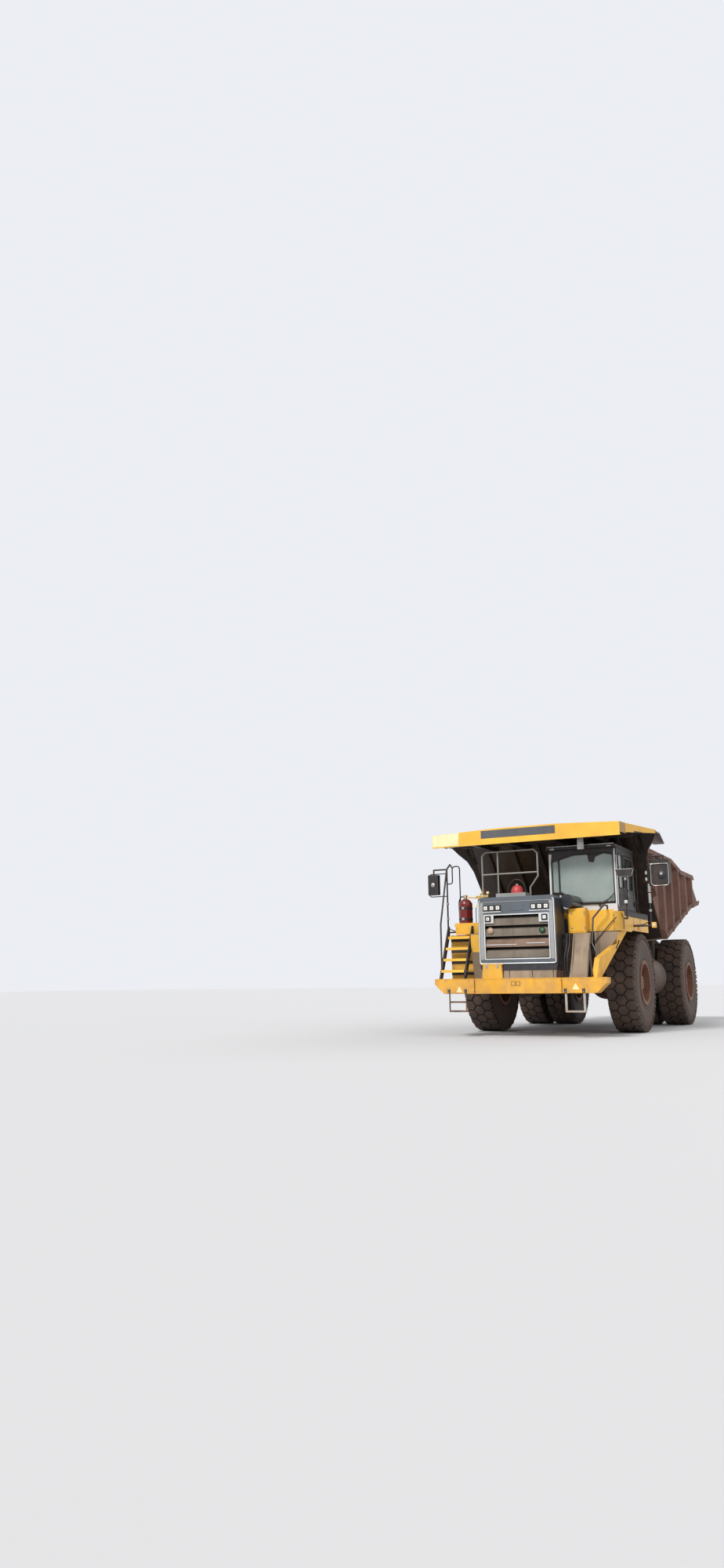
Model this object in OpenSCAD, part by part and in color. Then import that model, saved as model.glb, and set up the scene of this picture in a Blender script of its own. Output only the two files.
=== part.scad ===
// Rigid quarry dump truck, in millimetres.
// X is the truck's left side, Y runs from the bumper to the tail, Z is up from the ground.
// Places along the truck are measured from the front axle or from the rear axle.

/* [Overall] */
// Distance between the front and the rear axle
wheelbase = 4200; // [4000:50:4800]
// Front axle to the face of the bumper
front_reach = 2970; // [2900:10:3100]
// Rear axle to the tip of the tail
tail_reach = 2600; // [2500:10:2800]

/* [Tyres and rims] */
// Outside diameter of a tyre over its lugs
tyre_d = 2170; // [2100:10:2240]
// Width of a tyre
tyre_w = 650; // [600:10:680]
// Diameter of the rim where the bead sits
rim_d = 889; // [860:1:920]
// Depth of the tread lugs
lug_h = 45; // [25:5:60]
// Thickness of a tyre's sidewall
side_t = 50; // [30:5:70]
// Distance between the middles of the front tyres
front_track = 3320; // [3260:10:3400]
// Distance between the middles of the outer rear tyres
rear_track = 3700; // [3660:10:3760]
// Spacing of the two tyres of a rear pair
dual_pitch = 770; // [740:10:800]

/* [Frame] */
// Distance between the inner faces of the frame rails
rail_gap = 720; // [680:10:760]
// Width of a frame rail
rail_w = 120; // [100:5:140]
// Height of the top of the rails over the hubs
rail_rise = 665; // [640:5:690]
// Depth of the rails over the rear axle
rail_depth = 390; // [340:5:420]
// Height of the top of the rails under the grille, over the hubs
horn_rise = 295; // [260:5:320]
// Depth of the rails at the bumper
horn_depth = 420; // [360:5:460]

/* [Front axle] */
// Distance from the middle to a kingpin
kingpin_x = 1150; // [1120:5:1180]
// Diameter of a front strut's housing
strut_d = 250; // [220:5:280]
// Diameter of a kingpin
kingpin_d = 150; // [120:5:170]
// Diameter of a wheel spindle
spindle_d = 200; // [160:5:240]
// Length of a steering arm
steer_arm = 360; // [320:5:400]

/* [Rear axle] */
// Diameter of the round differential housing
diff_d = 880; // [800:10:900]
// Diameter of the axle tubes
axle_tube_d = 400; // [360:10:440]
// Diameter of the tubes that the rear hubs turn on
hub_tube_d = 340; // [300:10:360]
// Diameter of the final drives inside the rear rims
final_drive_d = 620; // [560:10:660]

/* [Body] */
// Half of the inside width of the body
bed_in = 2000; // [1950:10:2020]
// Thickness of the side plates
bed_side_t = 30; // [20:5:40]
// Height of the body's side rails over the frame rails
bed_side_h = 2215; // [2150:5:2280]
// Thickness of the floor
bed_floor_t = 40; // [30:5:60]
// Slope of the main floor in degrees
floor_slope = 15.2; // [14:0.1:16]
// Depth of the valley along the middle of the floor
floor_vee = 200; // [140:10:240]
// Depth of the side ribs
rib_d = 110; // [80:5:130]
// Width of a rib at its foot
rib_w = 260; // [200:10:320]
// Height of the canopy over the cab's roof
canopy_gap = 370; // [340:5:400]
// Height of the canopy's front fascia
fascia_h = 270; // [230:5:300]
// Half of the width of the canopy's front edge
canopy_front = 2140; // [2100:10:2200]
// Half of the width over the canopy's wings
canopy_wing = 2520; // [2450:10:2560]

/* [Hoist] */
// Depth of the lower hoist pins below the hubs
hoist_drop = 235; // [185:5:255]
// Height of the upper hoist pins over the frame rails
hoist_rise = 560; // [530:5:580]
// Diameter of the hoist barrels
hoist_barrel_d = 205; // [180:5:215]
// Diameter of the hoist rods
hoist_rod_d = 120; // [90:5:140]
// Diameter of the body's hinge pins
hinge_pin_d = 110; // [90:5:120]

/* [Bumper and grille] */
// Half of the width of the bumper at its top
bumper_half = 1870; // [1800:10:1900]
// Height of the top of the bumper over the hubs
bumper_rise = 125; // [95:5:155]
// Height of the bumper
bumper_h = 310; // [280:5:340]
// Depth of the bumper along the truck
bumper_depth = 330; // [280:10:380]
// Half of the width of the grille housing
grille_half = 850; // [820:10:880]
// Height of the top of the grille housing over the right deck
grille_rise = 515; // [480:5:560]
// Height of the foot of the silver surround over the rails under it
grille_foot = 120; // [80:10:160]
// Thickness of the grille housing's walls
grille_wall = 60; // [40:5:80]
// Width of the silver surround's upright bars
surround_w = 150; // [120:5:180]
// Height of the silver surround's lamp bar
lamp_bar = 400; // [360:10:420]
// Number of louvre blades
louvres = 4; // [3:1:5]
// Diameter of a tow pin's bore in the bumper
tow_pin_d = 80; // [60:5:90]

/* [Decks] */
// Height of the right deck over the front tyres
deck_gap = 230; // [210:5:280]
// Step up from the right deck to the left deck
deck_step = 180; // [160:5:200]
// Half of the width over the decks
deck_half = 2000; // [1960:10:2040]
// Thickness of a deck plate
deck_t = 40; // [25:5:60]
// Depth of the skirt under the right deck's front edge
deck_skirt = 220; // [180:10:260]
// Thickness of the diagonal leg from the left deck to the bumper
leg_t = 120; // [80:10:160]
// Depth of the skirt round the left deck
left_skirt = 415; // [380:5:430]
// Number of treads in the stairs
treads = 4; // [3:1:5]

/* [Cab] */
// Inner side of the cab
cab_x0 = 380; // [360:10:420]
// Outer side of the cab
cab_x1 = 1880; // [1840:10:1900]
// Length of the cab
cab_len = 1520; // [1450:10:1560]
// Height of the cab
cab_h = 1460; // [1400:10:1480]
// Thickness of the cab's walls
cab_wall = 60; // [45:5:80]
// Width of the cab's door opening
door_w = 800; // [760:10:820]
// Thickness of the window glass
glass_t = 8; // [6:1:12]

/* [Tanks and small parts] */
// Diameter of the tanks
tank_d = 900; // [820:10:940]
// Length of the fuel tank
fuel_len = 1250; // [1100:10:1300]
// Length of the oil tank
oil_len = 1000; // [900:10:1200]
// Diameter of the bar that the handrails are bent from
rail_bar = 38; // [30:2:48]
// Diameter of the red suppressant bottle
bottle_d = 300; // [260:10:330]
// Diameter of the air cleaner
cleaner_d = 290; // [260:10:300]

/* [Hidden] */

yellow = [0.93, 0.67, 0.13];
charcoal = [0.16, 0.17, 0.18];
silver = [0.72, 0.73, 0.72];
dust = [0.42, 0.29, 0.24];
black = [0.06, 0.06, 0.06];
rubber = [0.13, 0.11, 0.10];
rim_red = [0.38, 0.20, 0.14];
steel = [0.45, 0.42, 0.38];
glassy = [0.62, 0.74, 0.70];
red = [0.55, 0.08, 0.06];

// Clearances: round parts in bores, flat parts beside each other, parts that swing past each other
bore_gap = 0.5;
seat_gap = 0.4;

// Places of the axles, so that the middle of the whole length is at Y = 0
front_y = (front_reach - wheelbase - tail_reach) / 2;
rear_y = front_y + wheelbase;
hub_z = tyre_d / 2;

// Rails and bumper
rail_in = rail_gap / 2;
rail_out = rail_in + rail_w;
rail_top = hub_z + rail_rise;
horn_top = hub_z + horn_rise;
bumper_top = hub_z + bumper_rise;
bumper_low = bumper_top - bumper_h;

// Decks, grille, cab and canopy: the right deck clears the tyres, the rest stands over it
right_z = tyre_d + deck_gap;
left_z = right_z + deck_step;
grille_top = right_z + grille_rise;
grille_low = horn_top + grille_foot;
cab_front = -1650;
cab_back = cab_front + cab_len;
left_y0 = cab_front - 400;
left_y1 = cab_back + 630;
right_y1 = cab_back + 1030;
cab_top = left_z + cab_h;
canopy_z = cab_top + canopy_gap;

// Body in side view: foot of the front wall, knee and tip of the floor, from the front axle
wall_foot = [wheelbase - 2230, rail_top + 350];
wall_head = [cab_back + 130, cab_top + 10];
knee_y = wheelbase + 1190;
knee_z = wall_foot[1] + (knee_y - wall_foot[0]) * tan(floor_slope);
tip_y = wheelbase + tail_reach;
tip_z = knee_z + 190;
bed_out = bed_in + bed_side_t;
bed_rail_z = rail_top + bed_side_h;
bed_tall_z = bed_rail_z + 185;

// Hinge of the body behind the rear axle
hinge_y = 780;
hinge_z = rail_top - 130;

// Wheels
front_x = front_track / 2;
outer_x = rear_track / 2;
inner_x = outer_x - dual_pitch;

module from_front() translate([0, front_y, 0]) children();
module from_rear() translate([0, rear_y, 0]) children();

// A box between two corners
module block(lo, hi) {
    translate(lo) cube(hi - lo);
}

// The same piece on the left and on the right
module both_sides() {
    children();
    mirror([1, 0, 0]) children();
}

// An outline of [y, z] points, drawn as a plate from x0 to x1
module side_plate(points, x0, x1) {
    translate([x0, 0, 0]) rotate([90, 0, 90]) linear_extrude(x1 - x0) polygon(points);
}

// An outline of [x, z] points, drawn as a plate from y0 to y1
module front_plate(points, y0, y1) {
    translate([0, y1, 0]) rotate([90, 0, 0]) linear_extrude(y1 - y0) polygon(points);
}

// An outline of [x, y] points, drawn as a plate from z0 to z1
module flat_plate(points, z0, z1) {
    translate([0, 0, z0]) linear_extrude(z1 - z0) polygon(points);
}

// A round bar along X from x0 to x1
module bar_x(x0, x1, d, y, z) {
    translate([x0, y, z]) rotate([0, 90, 0]) cylinder(d = d, h = x1 - x0, $fn = 48);
}

// A round bar between two points
module bar(a, b, d) {
    v = b - a;
    len = norm(v);
    translate(a)
        rotate([0, acos(v[2] / len), atan2(v[1], v[0])])
            cylinder(d = d, h = len, $fn = 16);
}

// A bent rail through a list of points
module rail(points, d) {
    for (i = [0 : len(points) - 2]) bar(points[i], points[i + 1], d);
    for (i = [1 : 1 : len(points) - 2]) translate(points[i]) sphere(d = 1.1 * d, $fn = 16);
}

// Side outline of a frame rail, from the front axle, and its underside between the axles
belly_z = hub_z - 25;
rail_outline = [
    [bumper_depth - front_reach, horn_top], [-1250, horn_top], [-850, rail_top],
    [wheelbase + hinge_y, rail_top], [wheelbase + hinge_y, hinge_z - 120],
    [wheelbase + 400, rail_top - rail_depth], [wheelbase - 900, rail_top - rail_depth],
    [wheelbase - 1500, belly_z], [-1250, belly_z], [-1650, horn_top - horn_depth],
    [bumper_depth - front_reach, horn_top - horn_depth]];

// Grille face and the front of the hood, from the front axle
grille_y = 90 - front_reach;
hood_y = grille_y + 480;

// Strut and hoist brackets
strut_top = rail_top + 330;
strut_foot = hub_z + 155;
strut_seat = rail_top - 20;
hoist_low_z = hub_z - hoist_drop;
hoist_top_z = rail_top + hoist_rise;
hoist_y = -500;
hoist_x = rail_out + 140;
hoist_plate = 28;
hoist_eye_w = 90;
hoist_pin_d = 90;
aframe_y = -1500;
// Rear face of the gearbox, height of its shaft, and the axle's nose
gearbox_end = 1650;
shaft_z = hub_z + 215;
nose_y = 480;

module frame() {
    color(yellow) {
        both_sides() {
            from_front() {
                side_plate(rail_outline, rail_in, rail_out);
                // Box bracket that carries the front strut
                difference() {
                    block([rail_out, -130, strut_seat - 250], [kingpin_x, 130, strut_seat]);
                    translate([kingpin_x, 0, 0])
                        cylinder(d = strut_d + 2 * seat_gap, h = strut_top, $fn = 64);
                }
                side_plate([[-130, strut_seat - 250], [130, strut_seat - 250], [60, belly_z + 140],
                    [-60, belly_z + 140]], rail_out, rail_out + 240);
            }
            from_rear() {
                // Round end of the rail at the body's hinge, and the hinge pin
                bar_x(rail_in, rail_out, 2 * (rail_top - hinge_z - 5), hinge_y, hinge_z);
                bar_x(rail_in - 150, rail_in, hinge_pin_d, hinge_y, hinge_z);
                // Plate and pin at the foot of the hoist
                side_plate([[hoist_y - 170, rail_top - 150], [hoist_y + 170, rail_top - 150],
                    [hoist_y + 90, hoist_low_z - 80], [hoist_y - 90, hoist_low_z - 80]],
                    rail_out, rail_out + hoist_plate);
                bar_x(rail_out, hoist_x + hoist_eye_w / 2 + 25, hoist_pin_d, hoist_y, hoist_low_z);
            }
        }
        // Cross members: at the bumper, between the struts, at the A-frame and behind the axle
        from_front() {
            block([-rail_in, bumper_depth - front_reach, horn_top - horn_depth + 40],
                [rail_in, bumper_depth - front_reach + 160, horn_top - 60]);
            bar_x(-rail_in, rail_in, 260, 0, belly_z + 160);
        }
        from_rear() {
            bar_x(-rail_in, rail_in, 240, aframe_y - 120, hub_z + 345);
            block([-130, aframe_y - 220, hub_z - 205], [130, aframe_y, hub_z + 5]);
            both_sides() block([75, aframe_y - 220, hub_z - 5], [130, aframe_y, hub_z + 315]);
            bar_x(-rail_in, rail_in, 200, 560, rail_top - 150);
        }
    }
}

// Bumper: box with slanted ends, two seams and two bores for tow pins
bumper_seam = 950;
tow_x = 420;
module bumper() {
    y0 = -front_reach;
    y1 = y0 + bumper_depth;
    low = bumper_low;
    flare = 210;
    color(yellow) from_front() difference() {
        front_plate([[-bumper_half, bumper_top], [-bumper_half, bumper_top - 110],
            [flare - bumper_half, low], [bumper_half - flare, low],
            [bumper_half, bumper_top - 110], [bumper_half, bumper_top]], y0, y1);
        for (side = [-1, 1]) {
            // Seam between the middle and the end, and the tow pin's bore
            translate([side * bumper_seam, 0, 0]) block([-15, y0 - 1, low - 1], [15, y0 + 40, bumper_top + 1]);
            translate([side * tow_x, y0 + 110, low - 1])
                cylinder(d = tow_pin_d, h = bumper_h + 2, $fn = 48);
        }
    }
}

// Steps that hang under the bumper: rods with two rungs on the right, flat straps with one on the left
module step_hangers() {
    low = bumper_low - 380;
    half = 190;
    rung_t = 35;
    color(steel) from_front() translate([0, -front_reach + 20, 0]) {
        translate([-1350, 0, 0]) {
            for (side = [-1, 1]) block([side * half - 12, 0, low], [side * half + 12, 24, bumper_low]);
            for (z = [low, low + 190]) block([-half, -10, z], [half, 130, z + rung_t]);
        }
        translate([1205, 0, 0]) {
            for (side = [-1, 1]) block([side * half - 22, 0, low], [side * half + 22, 30, bumper_low]);
            block([-half, -10, low], [half, 150, low + rung_t]);
        }
    }
}

// Guard plates between the grille, the bumper and the decks; box_low is the underside of the deck's box
box_low = left_z - 450;
guard_t = 30;
guard_x = -grille_half - 345;
bow = [[bumper_depth - front_reach - 40, bumper_top], [hood_y - 20, bumper_top + 440],
    [left_y0 - 200, box_low]];
module front_guard() {
    foot = bumper_top;
    color(dust) from_front() {
        // Sloped skid plate under the grille
        side_plate([[grille_y, foot], [grille_y + 40, foot], [grille_y + 60, horn_top],
            [grille_y + 20, horn_top]], -330, grille_half - 40);
        // Panels beside the grille: a bowed one from the bumper to the deck's box, and a swept one
        for (i = [0 : len(bow) - 2])
            side_plate([bow[i], bow[i] + [guard_t, 0], bow[i + 1] + [guard_t, 0], bow[i + 1]],
                grille_half + 170, grille_half + 550);
        front_plate([[-grille_half - 280, foot], [-grille_half, foot], [-grille_half, right_z - deck_skirt],
            [guard_x, right_z - deck_skirt], [guard_x, foot + 700]], hood_y - 100, hood_y - 100 + guard_t);
    }
}

module strut_housings() {
    color(steel) from_front() both_sides() translate([kingpin_x, 0, 0]) difference() {
        union() {
            translate([0, 0, strut_foot]) cylinder(d = strut_d, h = strut_top - strut_foot, $fn = 64);
            translate([0, 0, strut_seat + seat_gap]) cylinder(d = strut_d + 60, h = 60, $fn = 64);
        }
        translate([0, 0, strut_foot - 1]) cylinder(d = kingpin_d + 2 * bore_gap, h = 461, $fn = 64);
    }
}

// Knuckle with its kingpin, wheel spindle and steering arm
knuckle_d = 290;
arm_z = hub_z - 205;
arm_t = 70;
module knuckle() {
    color(steel) from_front() {
        translate([kingpin_x, 0, arm_z]) cylinder(d = knuckle_d, h = strut_foot - 8 - arm_z, $fn = 64);
        translate([kingpin_x, 0, strut_foot - 9]) cylinder(d = kingpin_d, h = 450, $fn = 64);
        bar_x(kingpin_x, front_x + 100, spindle_d, 0, hub_z);
        bar_x(kingpin_x, kingpin_x + 210, spindle_d + 60, 0, hub_z);
        translate([kingpin_x, 0, arm_z]) block([-60, 0, 0], [60, steer_arm, arm_t]);
        translate([kingpin_x, steer_arm, arm_z]) cylinder(d = 120, h = arm_t, $fn = 32);
    }
}
module knuckle_left() knuckle();
module knuckle_right() mirror([1, 0, 0]) knuckle();

module tie_rod() {
    rod_d = 64;
    eye_z = arm_z + arm_t + bore_gap;
    color(steel) from_front() translate([0, steer_arm, 0]) {
        bar_x(-kingpin_x, kingpin_x, rod_d, 0, eye_z + rod_d / 2);
        both_sides() translate([kingpin_x, 0, eye_z]) cylinder(d = 110, h = rod_d, $fn = 48);
    }
}

// Half section of a tyre as [radius, offset from its middle], and of the air space inside it
function tyre_half(r, w) = [
    [rim_d / 2 + seat_gap, 0.36 * w], [rim_d / 2 + seat_gap, w / 2 - 22], [rim_d / 2 + 60, w / 2 - 22],
    [0.62 * r, w / 2 - 4], [0.74 * r, w / 2], [0.86 * r, w / 2 - 6], [0.93 * r, w / 2 - 24],
    [r - 12, w / 2 - 42], [r, w / 2 - 62]];
function flipped(half) = [for (i = [len(half) - 1 : -1 : 0]) [half[i][0], -half[i][1]]];
function air_half(r, w) = [
    [rim_d / 2 - 20, 0.36 * w - side_t], [rim_d / 2 + 60, w / 2 - side_t - 40], [0.74 * r, w / 2 - side_t],
    [0.87 * r, w / 2 - side_t - 18], [r - lug_h - side_t, w / 2 - side_t - 70]];

module tyre() {
    r = tyre_d / 2;
    rotate([0, 90, 0]) rotate_extrude($fn = 96) difference() {
        polygon(concat(tyre_half(r, tyre_w), flipped(tyre_half(r, tyre_w))));
        polygon(concat(air_half(r, tyre_w), flipped(air_half(r, tyre_w))));
    }
}

module tyre_front_left() color(rubber) from_front() translate([front_x, 0, hub_z]) tyre();
module tyre_front_right() mirror([1, 0, 0]) tyre_front_left();
module tyres_rear_left() color(rubber) from_rear() for (x = [inner_x, outer_x]) translate([x, 0, hub_z]) tyre();
module tyres_rear_right() mirror([1, 0, 0]) tyres_rear_left();

// Rim barrel with its flanges, as [radius, offset] from the middle
rim_wall = 28;
flange_r = rim_d / 2 + 46;
module rim_barrel() {
    r = rim_d / 2;
    w = tyre_w / 2 - 22 + seat_gap;
    profile = [[r - rim_wall, -w - 18], [flange_r, -w - 18], [flange_r, -w], [r, -w],
        [r, w], [flange_r, w], [flange_r, w + 18], [r - rim_wall, w + 18]];
    rotate([0, 90, 0]) rotate_extrude($fn = 96) polygon(profile);
}

// A disc across the rim from offset x0 to x1, with a bore
module rim_disc(x0, x1, bore) {
    rotate([0, 90, 0]) rotate_extrude($fn = 96)
        polygon([[bore / 2, x0], [rim_d / 2 - 10, x0], [rim_d / 2 - 10, x1], [bore / 2, x1]]);
}

// A hub turned round a tube or spindle: bore along its length, closed at its outer end
module hub_drum(x0, x1, d, bore, bore_end) {
    rotate([0, 90, 0]) rotate_extrude($fn = 96)
        polygon([[bore / 2, x0], [d / 2, x0], [d / 2, x1 - 60], [d / 2 - 60, x1], [0, x1],
            [0, bore_end], [bore / 2, bore_end]]);
}

module rim_front_left() {
    bore = spindle_d + 2 * bore_gap;
    color(rim_red) from_front() translate([front_x, 0, hub_z]) {
        rim_barrel();
        rim_disc(40, 80, bore);
        hub_drum(-110, 215, 420, bore, 108);
    }
}
module rim_front_right() mirror([1, 0, 0]) rim_front_left();

module rims_rear_left() {
    bore = hub_tube_d + 2 * bore_gap;
    color(rim_red) from_rear() translate([0, 0, hub_z]) {
        for (x = [inner_x, outer_x]) translate([x, 0, 0]) rim_barrel();
        translate([inner_x, 0, 0]) rim_disc(270, 310, bore);
        translate([outer_x, 0, 0]) rim_disc(-310, -270, bore);
        hub_drum(inner_x - 180, outer_x + 190, final_drive_d, bore, outer_x - 140);
    }
}
module rims_rear_right() mirror([1, 0, 0]) rims_rear_left();

// Axle housing with its ball-shaped middle, tubes and A-frame
module rear_axle() {
    color(steel) from_rear() {
        translate([0, 0, hub_z]) rotate([0, 90, 0]) rotate_extrude($fn = 96) intersection() {
            circle(d = diff_d, $fn = 96);
            translate([0, -330]) square([diff_d, 660]);
        }
        translate([0, 0, hub_z]) rotate([90, 0, 0]) cylinder(d = 190, h = nose_y, $fn = 48);
        bar_x(-inner_x + 340, inner_x - 340, axle_tube_d, 0, hub_z);
        bar_x(-outer_x + 150, outer_x - 150, hub_tube_d, 0, hub_z);
        flat_plate([[-420, 0], [420, 0], [110, aframe_y], [-110, aframe_y]], hub_z - 195, hub_z - 95);
        // Ears for the rear struts
        both_sides() block([300 - 60, 60, hub_z - 60], [300 + 60, 480, hub_z + 60]);
    }
}

module rear_struts() {
    color(steel) from_rear() both_sides() {
        translate([300, 420, hub_z + 60]) cylinder(d = 110, h = 250, $fn = 48);
        translate([300, 420, hub_z + 240]) cylinder(d = 100, h = 200, $fn = 48);
    }
}

// Plain block between the rails, on four feet
engine_low = rail_top - 570;
module engine() {
    color(steel) from_front() {
        block([-330, hood_y + 350, engine_low], [290, -350, rail_top + 630]);
        for (y = [hood_y + 550, -750]) block([-rail_in, y, engine_low], [rail_in, y + 160, engine_low + 120]);
    }
}

module transmission() {
    color(steel) from_front() {
        block([-300, gearbox_end - 950, shaft_z - 220], [300, gearbox_end, rail_top - 50]);
        block([-rail_in, gearbox_end - 750, shaft_z + 200], [rail_in, gearbox_end - 550, shaft_z + 300]);
    }
}

module driveshaft() {
    color(steel) from_rear() {
        y0 = gearbox_end - wheelbase + seat_gap;
        y1 = -nose_y - seat_gap;
        bar([0, y1 - 20, hub_z], [0, y0 + 20, shaft_z], 110);
        translate([0, y0, shaft_z]) rotate([-90, 0, 0]) cylinder(d = 150, h = 30, $fn = 48);
        translate([0, y1 - 30, hub_z]) rotate([-90, 0, 0]) cylinder(d = 150, h = 30, $fn = 48);
    }
}

module radiator() {
    half = grille_half - grille_wall - 20;
    color(charcoal) from_front()
        block([-half, grille_y + 300, grille_low + grille_wall], [half, grille_y + 440, grille_top - 120]);
}

// Housing round the radiator, open to the front and back
module grille_housing() {
    inner = grille_half - grille_wall;
    color(charcoal) from_front() difference() {
        front_plate([[-grille_half, horn_top], [grille_half, horn_top],
            [grille_half, grille_top], [-grille_half, grille_top]], grille_y, hood_y);
        front_plate([[-inner, grille_low + grille_wall], [inner, grille_low + grille_wall],
            [inner, grille_top - grille_wall], [-inner, grille_top - grille_wall]], grille_y - 1, hood_y + 1);
    }
}

// Silver frame on the housing's face, with its lamp bar across the top
surround_t = 30;
module grille_surround() {
    inner = grille_half - surround_w;
    color(silver) from_front() difference() {
        front_plate([[-grille_half, grille_low], [grille_half, grille_low],
            [grille_half, grille_top], [-grille_half, grille_top]], grille_y - surround_t, grille_y);
        front_plate([[-inner, grille_low + surround_w - 25], [inner, grille_low + surround_w - 25],
            [inner, grille_top - lamp_bar], [-inner, grille_top - lamp_bar]],
            grille_y - surround_t - 1, grille_y + 1);
    }
}

// Sloped blades behind the opening, with a dark slot over each one
module grille_louvres() {
    half = grille_half - grille_wall - seat_gap;
    low = grille_low + surround_w - 25;
    pitch = (grille_top - lamp_bar - low) / louvres;
    color(dust) from_front()
        for (i = [0 : louvres - 1])
            translate([0, grille_y + seat_gap, low + i * pitch])
                side_plate([[0, 10], [25, 10], [115, pitch - 35], [90, pitch - 35]], -half, half);
}

// Square lamps: three at each end of the lamp bar
lamp_size = 110;
module grille_lamps() {
    y1 = grille_y - surround_t;
    color(silver) from_front() both_sides() for (i = [0 : 2])
        translate([390 + i * 140, y1, grille_top - 290])
            block([-lamp_size / 2, -20, 0], [lamp_size / 2, 0, lamp_size]);
}

// Height of the hood's sloped top at a place along the truck
function hood_top(y) = grille_top - 10 - 0.056 * (y - hood_y);

// Hood over the engine: as wide as the grille housing in front of the left deck
hood_wide = grille_half - 60;
module hood_shape(x0, x1, wide, y0, low, inset) {
    y1 = -250 - inset;
    wide_y1 = left_y0 - 5 - inset;
    intersection() {
        flat_plate([[x0, y0], [wide, y0], [wide, wide_y1], [x1, wide_y1], [x1, y1], [x0, y1]], low, grille_top);
        side_plate([[y0 - 10, low - 10], [y0 - 10, hood_top(y0 - 10) - inset], [0, hood_top(0) - inset],
            [0, low - 10]], x0 - 10, wide + 10);
    }
}
module hood() {
    t = 25;
    x0 = 10 - grille_half;
    x1 = cab_x0 - 50;
    low = rail_top + 350;
    color(charcoal) from_front() difference() {
        hood_shape(x0, x1, hood_wide, hood_y, low, 0);
        hood_shape(x0 + t, x1 - t, hood_wide - t, hood_y - 1, low - 1, t);
    }
}

module air_cleaners() {
    y1 = cab_front - 50;
    z = cleaner_d / 2 + 80;
    color(black) from_front() translate([960, 0, left_z]) {
        translate([0, y1, z]) rotate([90, 0, 0]) cylinder(d = cleaner_d, h = y1 - hood_y - 10, $fn = 64);
        block([-90, y1 - 200, 0], [90, y1 - 40, 120]);
    }
}

// Decks over the front wheels
deck_corner = [130, 250];
leg_turn = 14.7;
leg_run = 1180;
leg_w = 195;
module deck_left() {
    y0 = left_y0;
    y1 = left_y1;
    inner = cab_x0 - 35;
    low = left_z - left_skirt;
    arch = tyre_d + 30;
    corner_x = deck_half - deck_corner[0];
    corner_y = y0 + deck_corner[1];
    color(yellow) from_front() {
        flat_plate([[inner, y0], [corner_x, y0], [deck_half, corner_y], [deck_half, y1], [inner, y1]],
            left_z - deck_t, left_z);
        // Front panel, corner panel, and side skirt over the wheel
        flat_plate([[grille_half + 400, y0], [corner_x, y0], [deck_half, corner_y], [deck_half - 30, corner_y + 8],
            [corner_x - 16, y0 + 30], [grille_half + 400, y0 + 30]], low, left_z - deck_t);
        side_plate([[corner_y, left_z - deck_t], [corner_y, low], [-1150, low], [-1050, arch], [y1, arch],
            [y1, left_z - deck_t]], deck_half - 30, deck_half);
        // Diagonal leg in its own upright plane, from the skirt inwards to the bumper
        translate([deck_half, y0 + 505, 0]) rotate([0, 0, -leg_turn])
            side_plate([[0, low + 15], [-leg_run, bumper_top], [-leg_run - leg_w, bumper_top],
                [-leg_run - 40, bumper_top + 2 * leg_w], [-480, low - 265], [-500, low + 15]], -leg_t, 0);
    }
}

module deck_right() {
    top = right_z;
    x0 = -deck_half;
    x1 = x0 + 350;
    y0 = hood_y + 100;
    y1 = right_y1;
    color(yellow) from_front() {
        flat_plate([[x1, y0], [x1, y0 + 600], [x0, y0 + 900], [x0, y1], [-grille_half, y1], [-grille_half, y0]],
            top - deck_t, top);
        block([x1 + 30, y0, top - deck_skirt], [-grille_half - 150, y0 + 30, top - deck_t]);
        block([x0, y0 + 900, top - deck_skirt + 60], [x0 + 30, y1, top - deck_t]);
    }
}

module stairs() {
    foot = bumper_top;
    top = right_z - deck_skirt;
    y0 = -front_reach + 60;
    y1 = hood_y + 100;
    rise = (top - foot) / treads;
    color(yellow) from_front() {
        for (x = [-1790, -1230])
            side_plate([[y0, foot], [y0 + 140, foot], [y1, top], [y1, top + 180], [y1 - 60, top + 180]], x, x + 30);
        for (i = [0 : treads - 1]) {
            y = y0 + 60 + (y1 - y0 - 60) * i / treads;
            block([-1760, y, foot + 0.6 * rise + i * rise], [-1230, y + 190, foot + 0.6 * rise + i * rise + 40]);
        }
    }
}

module handrails() {
    d = rail_bar;
    top = cab_top - 40;
    turn = 80;
    frame_y = hood_y + 400;
    frame_x0 = -1060;
    frame_x1 = 230;
    foot = hood_top(frame_y) + 3;
    post_x = 1715;
    color(black) from_front() {
        // Rounded frame behind the grille, from the right deck to the hood
        translate([0, frame_y, 0]) {
            rail([[frame_x0, 0, right_z], [frame_x0, 0, top - turn], [frame_x0 + turn, 0, top],
                [frame_x1 - turn, 0, top], [frame_x1, 0, top - turn], [frame_x1, 0, top - 590],
                [frame_x1 - 184, 0, top - 834], [frame_x1 - 184, 0, foot]], d);
            bar([frame_x0 + 370, 0, foot], [frame_x0 + 370, 0, top], d);
            bar([frame_x0, 0, top - 500], [frame_x1, 0, top - 500], d);
        }
        // Post beside the stairs
        translate([0, 280 - front_reach, 0]) rail([[-1815, 0, bumper_top], [-1815, 0, right_z],
            [-1640, 0, top - 400], [-1560, 0, top - 300], [-1500, 0, top - 380]], d);
        // Rail in front of the left deck
        rail([[1515, 280 - front_reach, bumper_top], [1515, 280 - front_reach, bumper_top + 60],
            [1600, hood_y - 100, bumper_top + 420], [1460, hood_y, left_z - 670],
            [1475, left_y0 - 235, left_z - 150], [post_x, left_y0 - 235, left_z + 115],
            [post_x, left_y0 + 60, left_z + 115], [post_x, left_y0 + 60, left_z]], d);
    }
}

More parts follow.
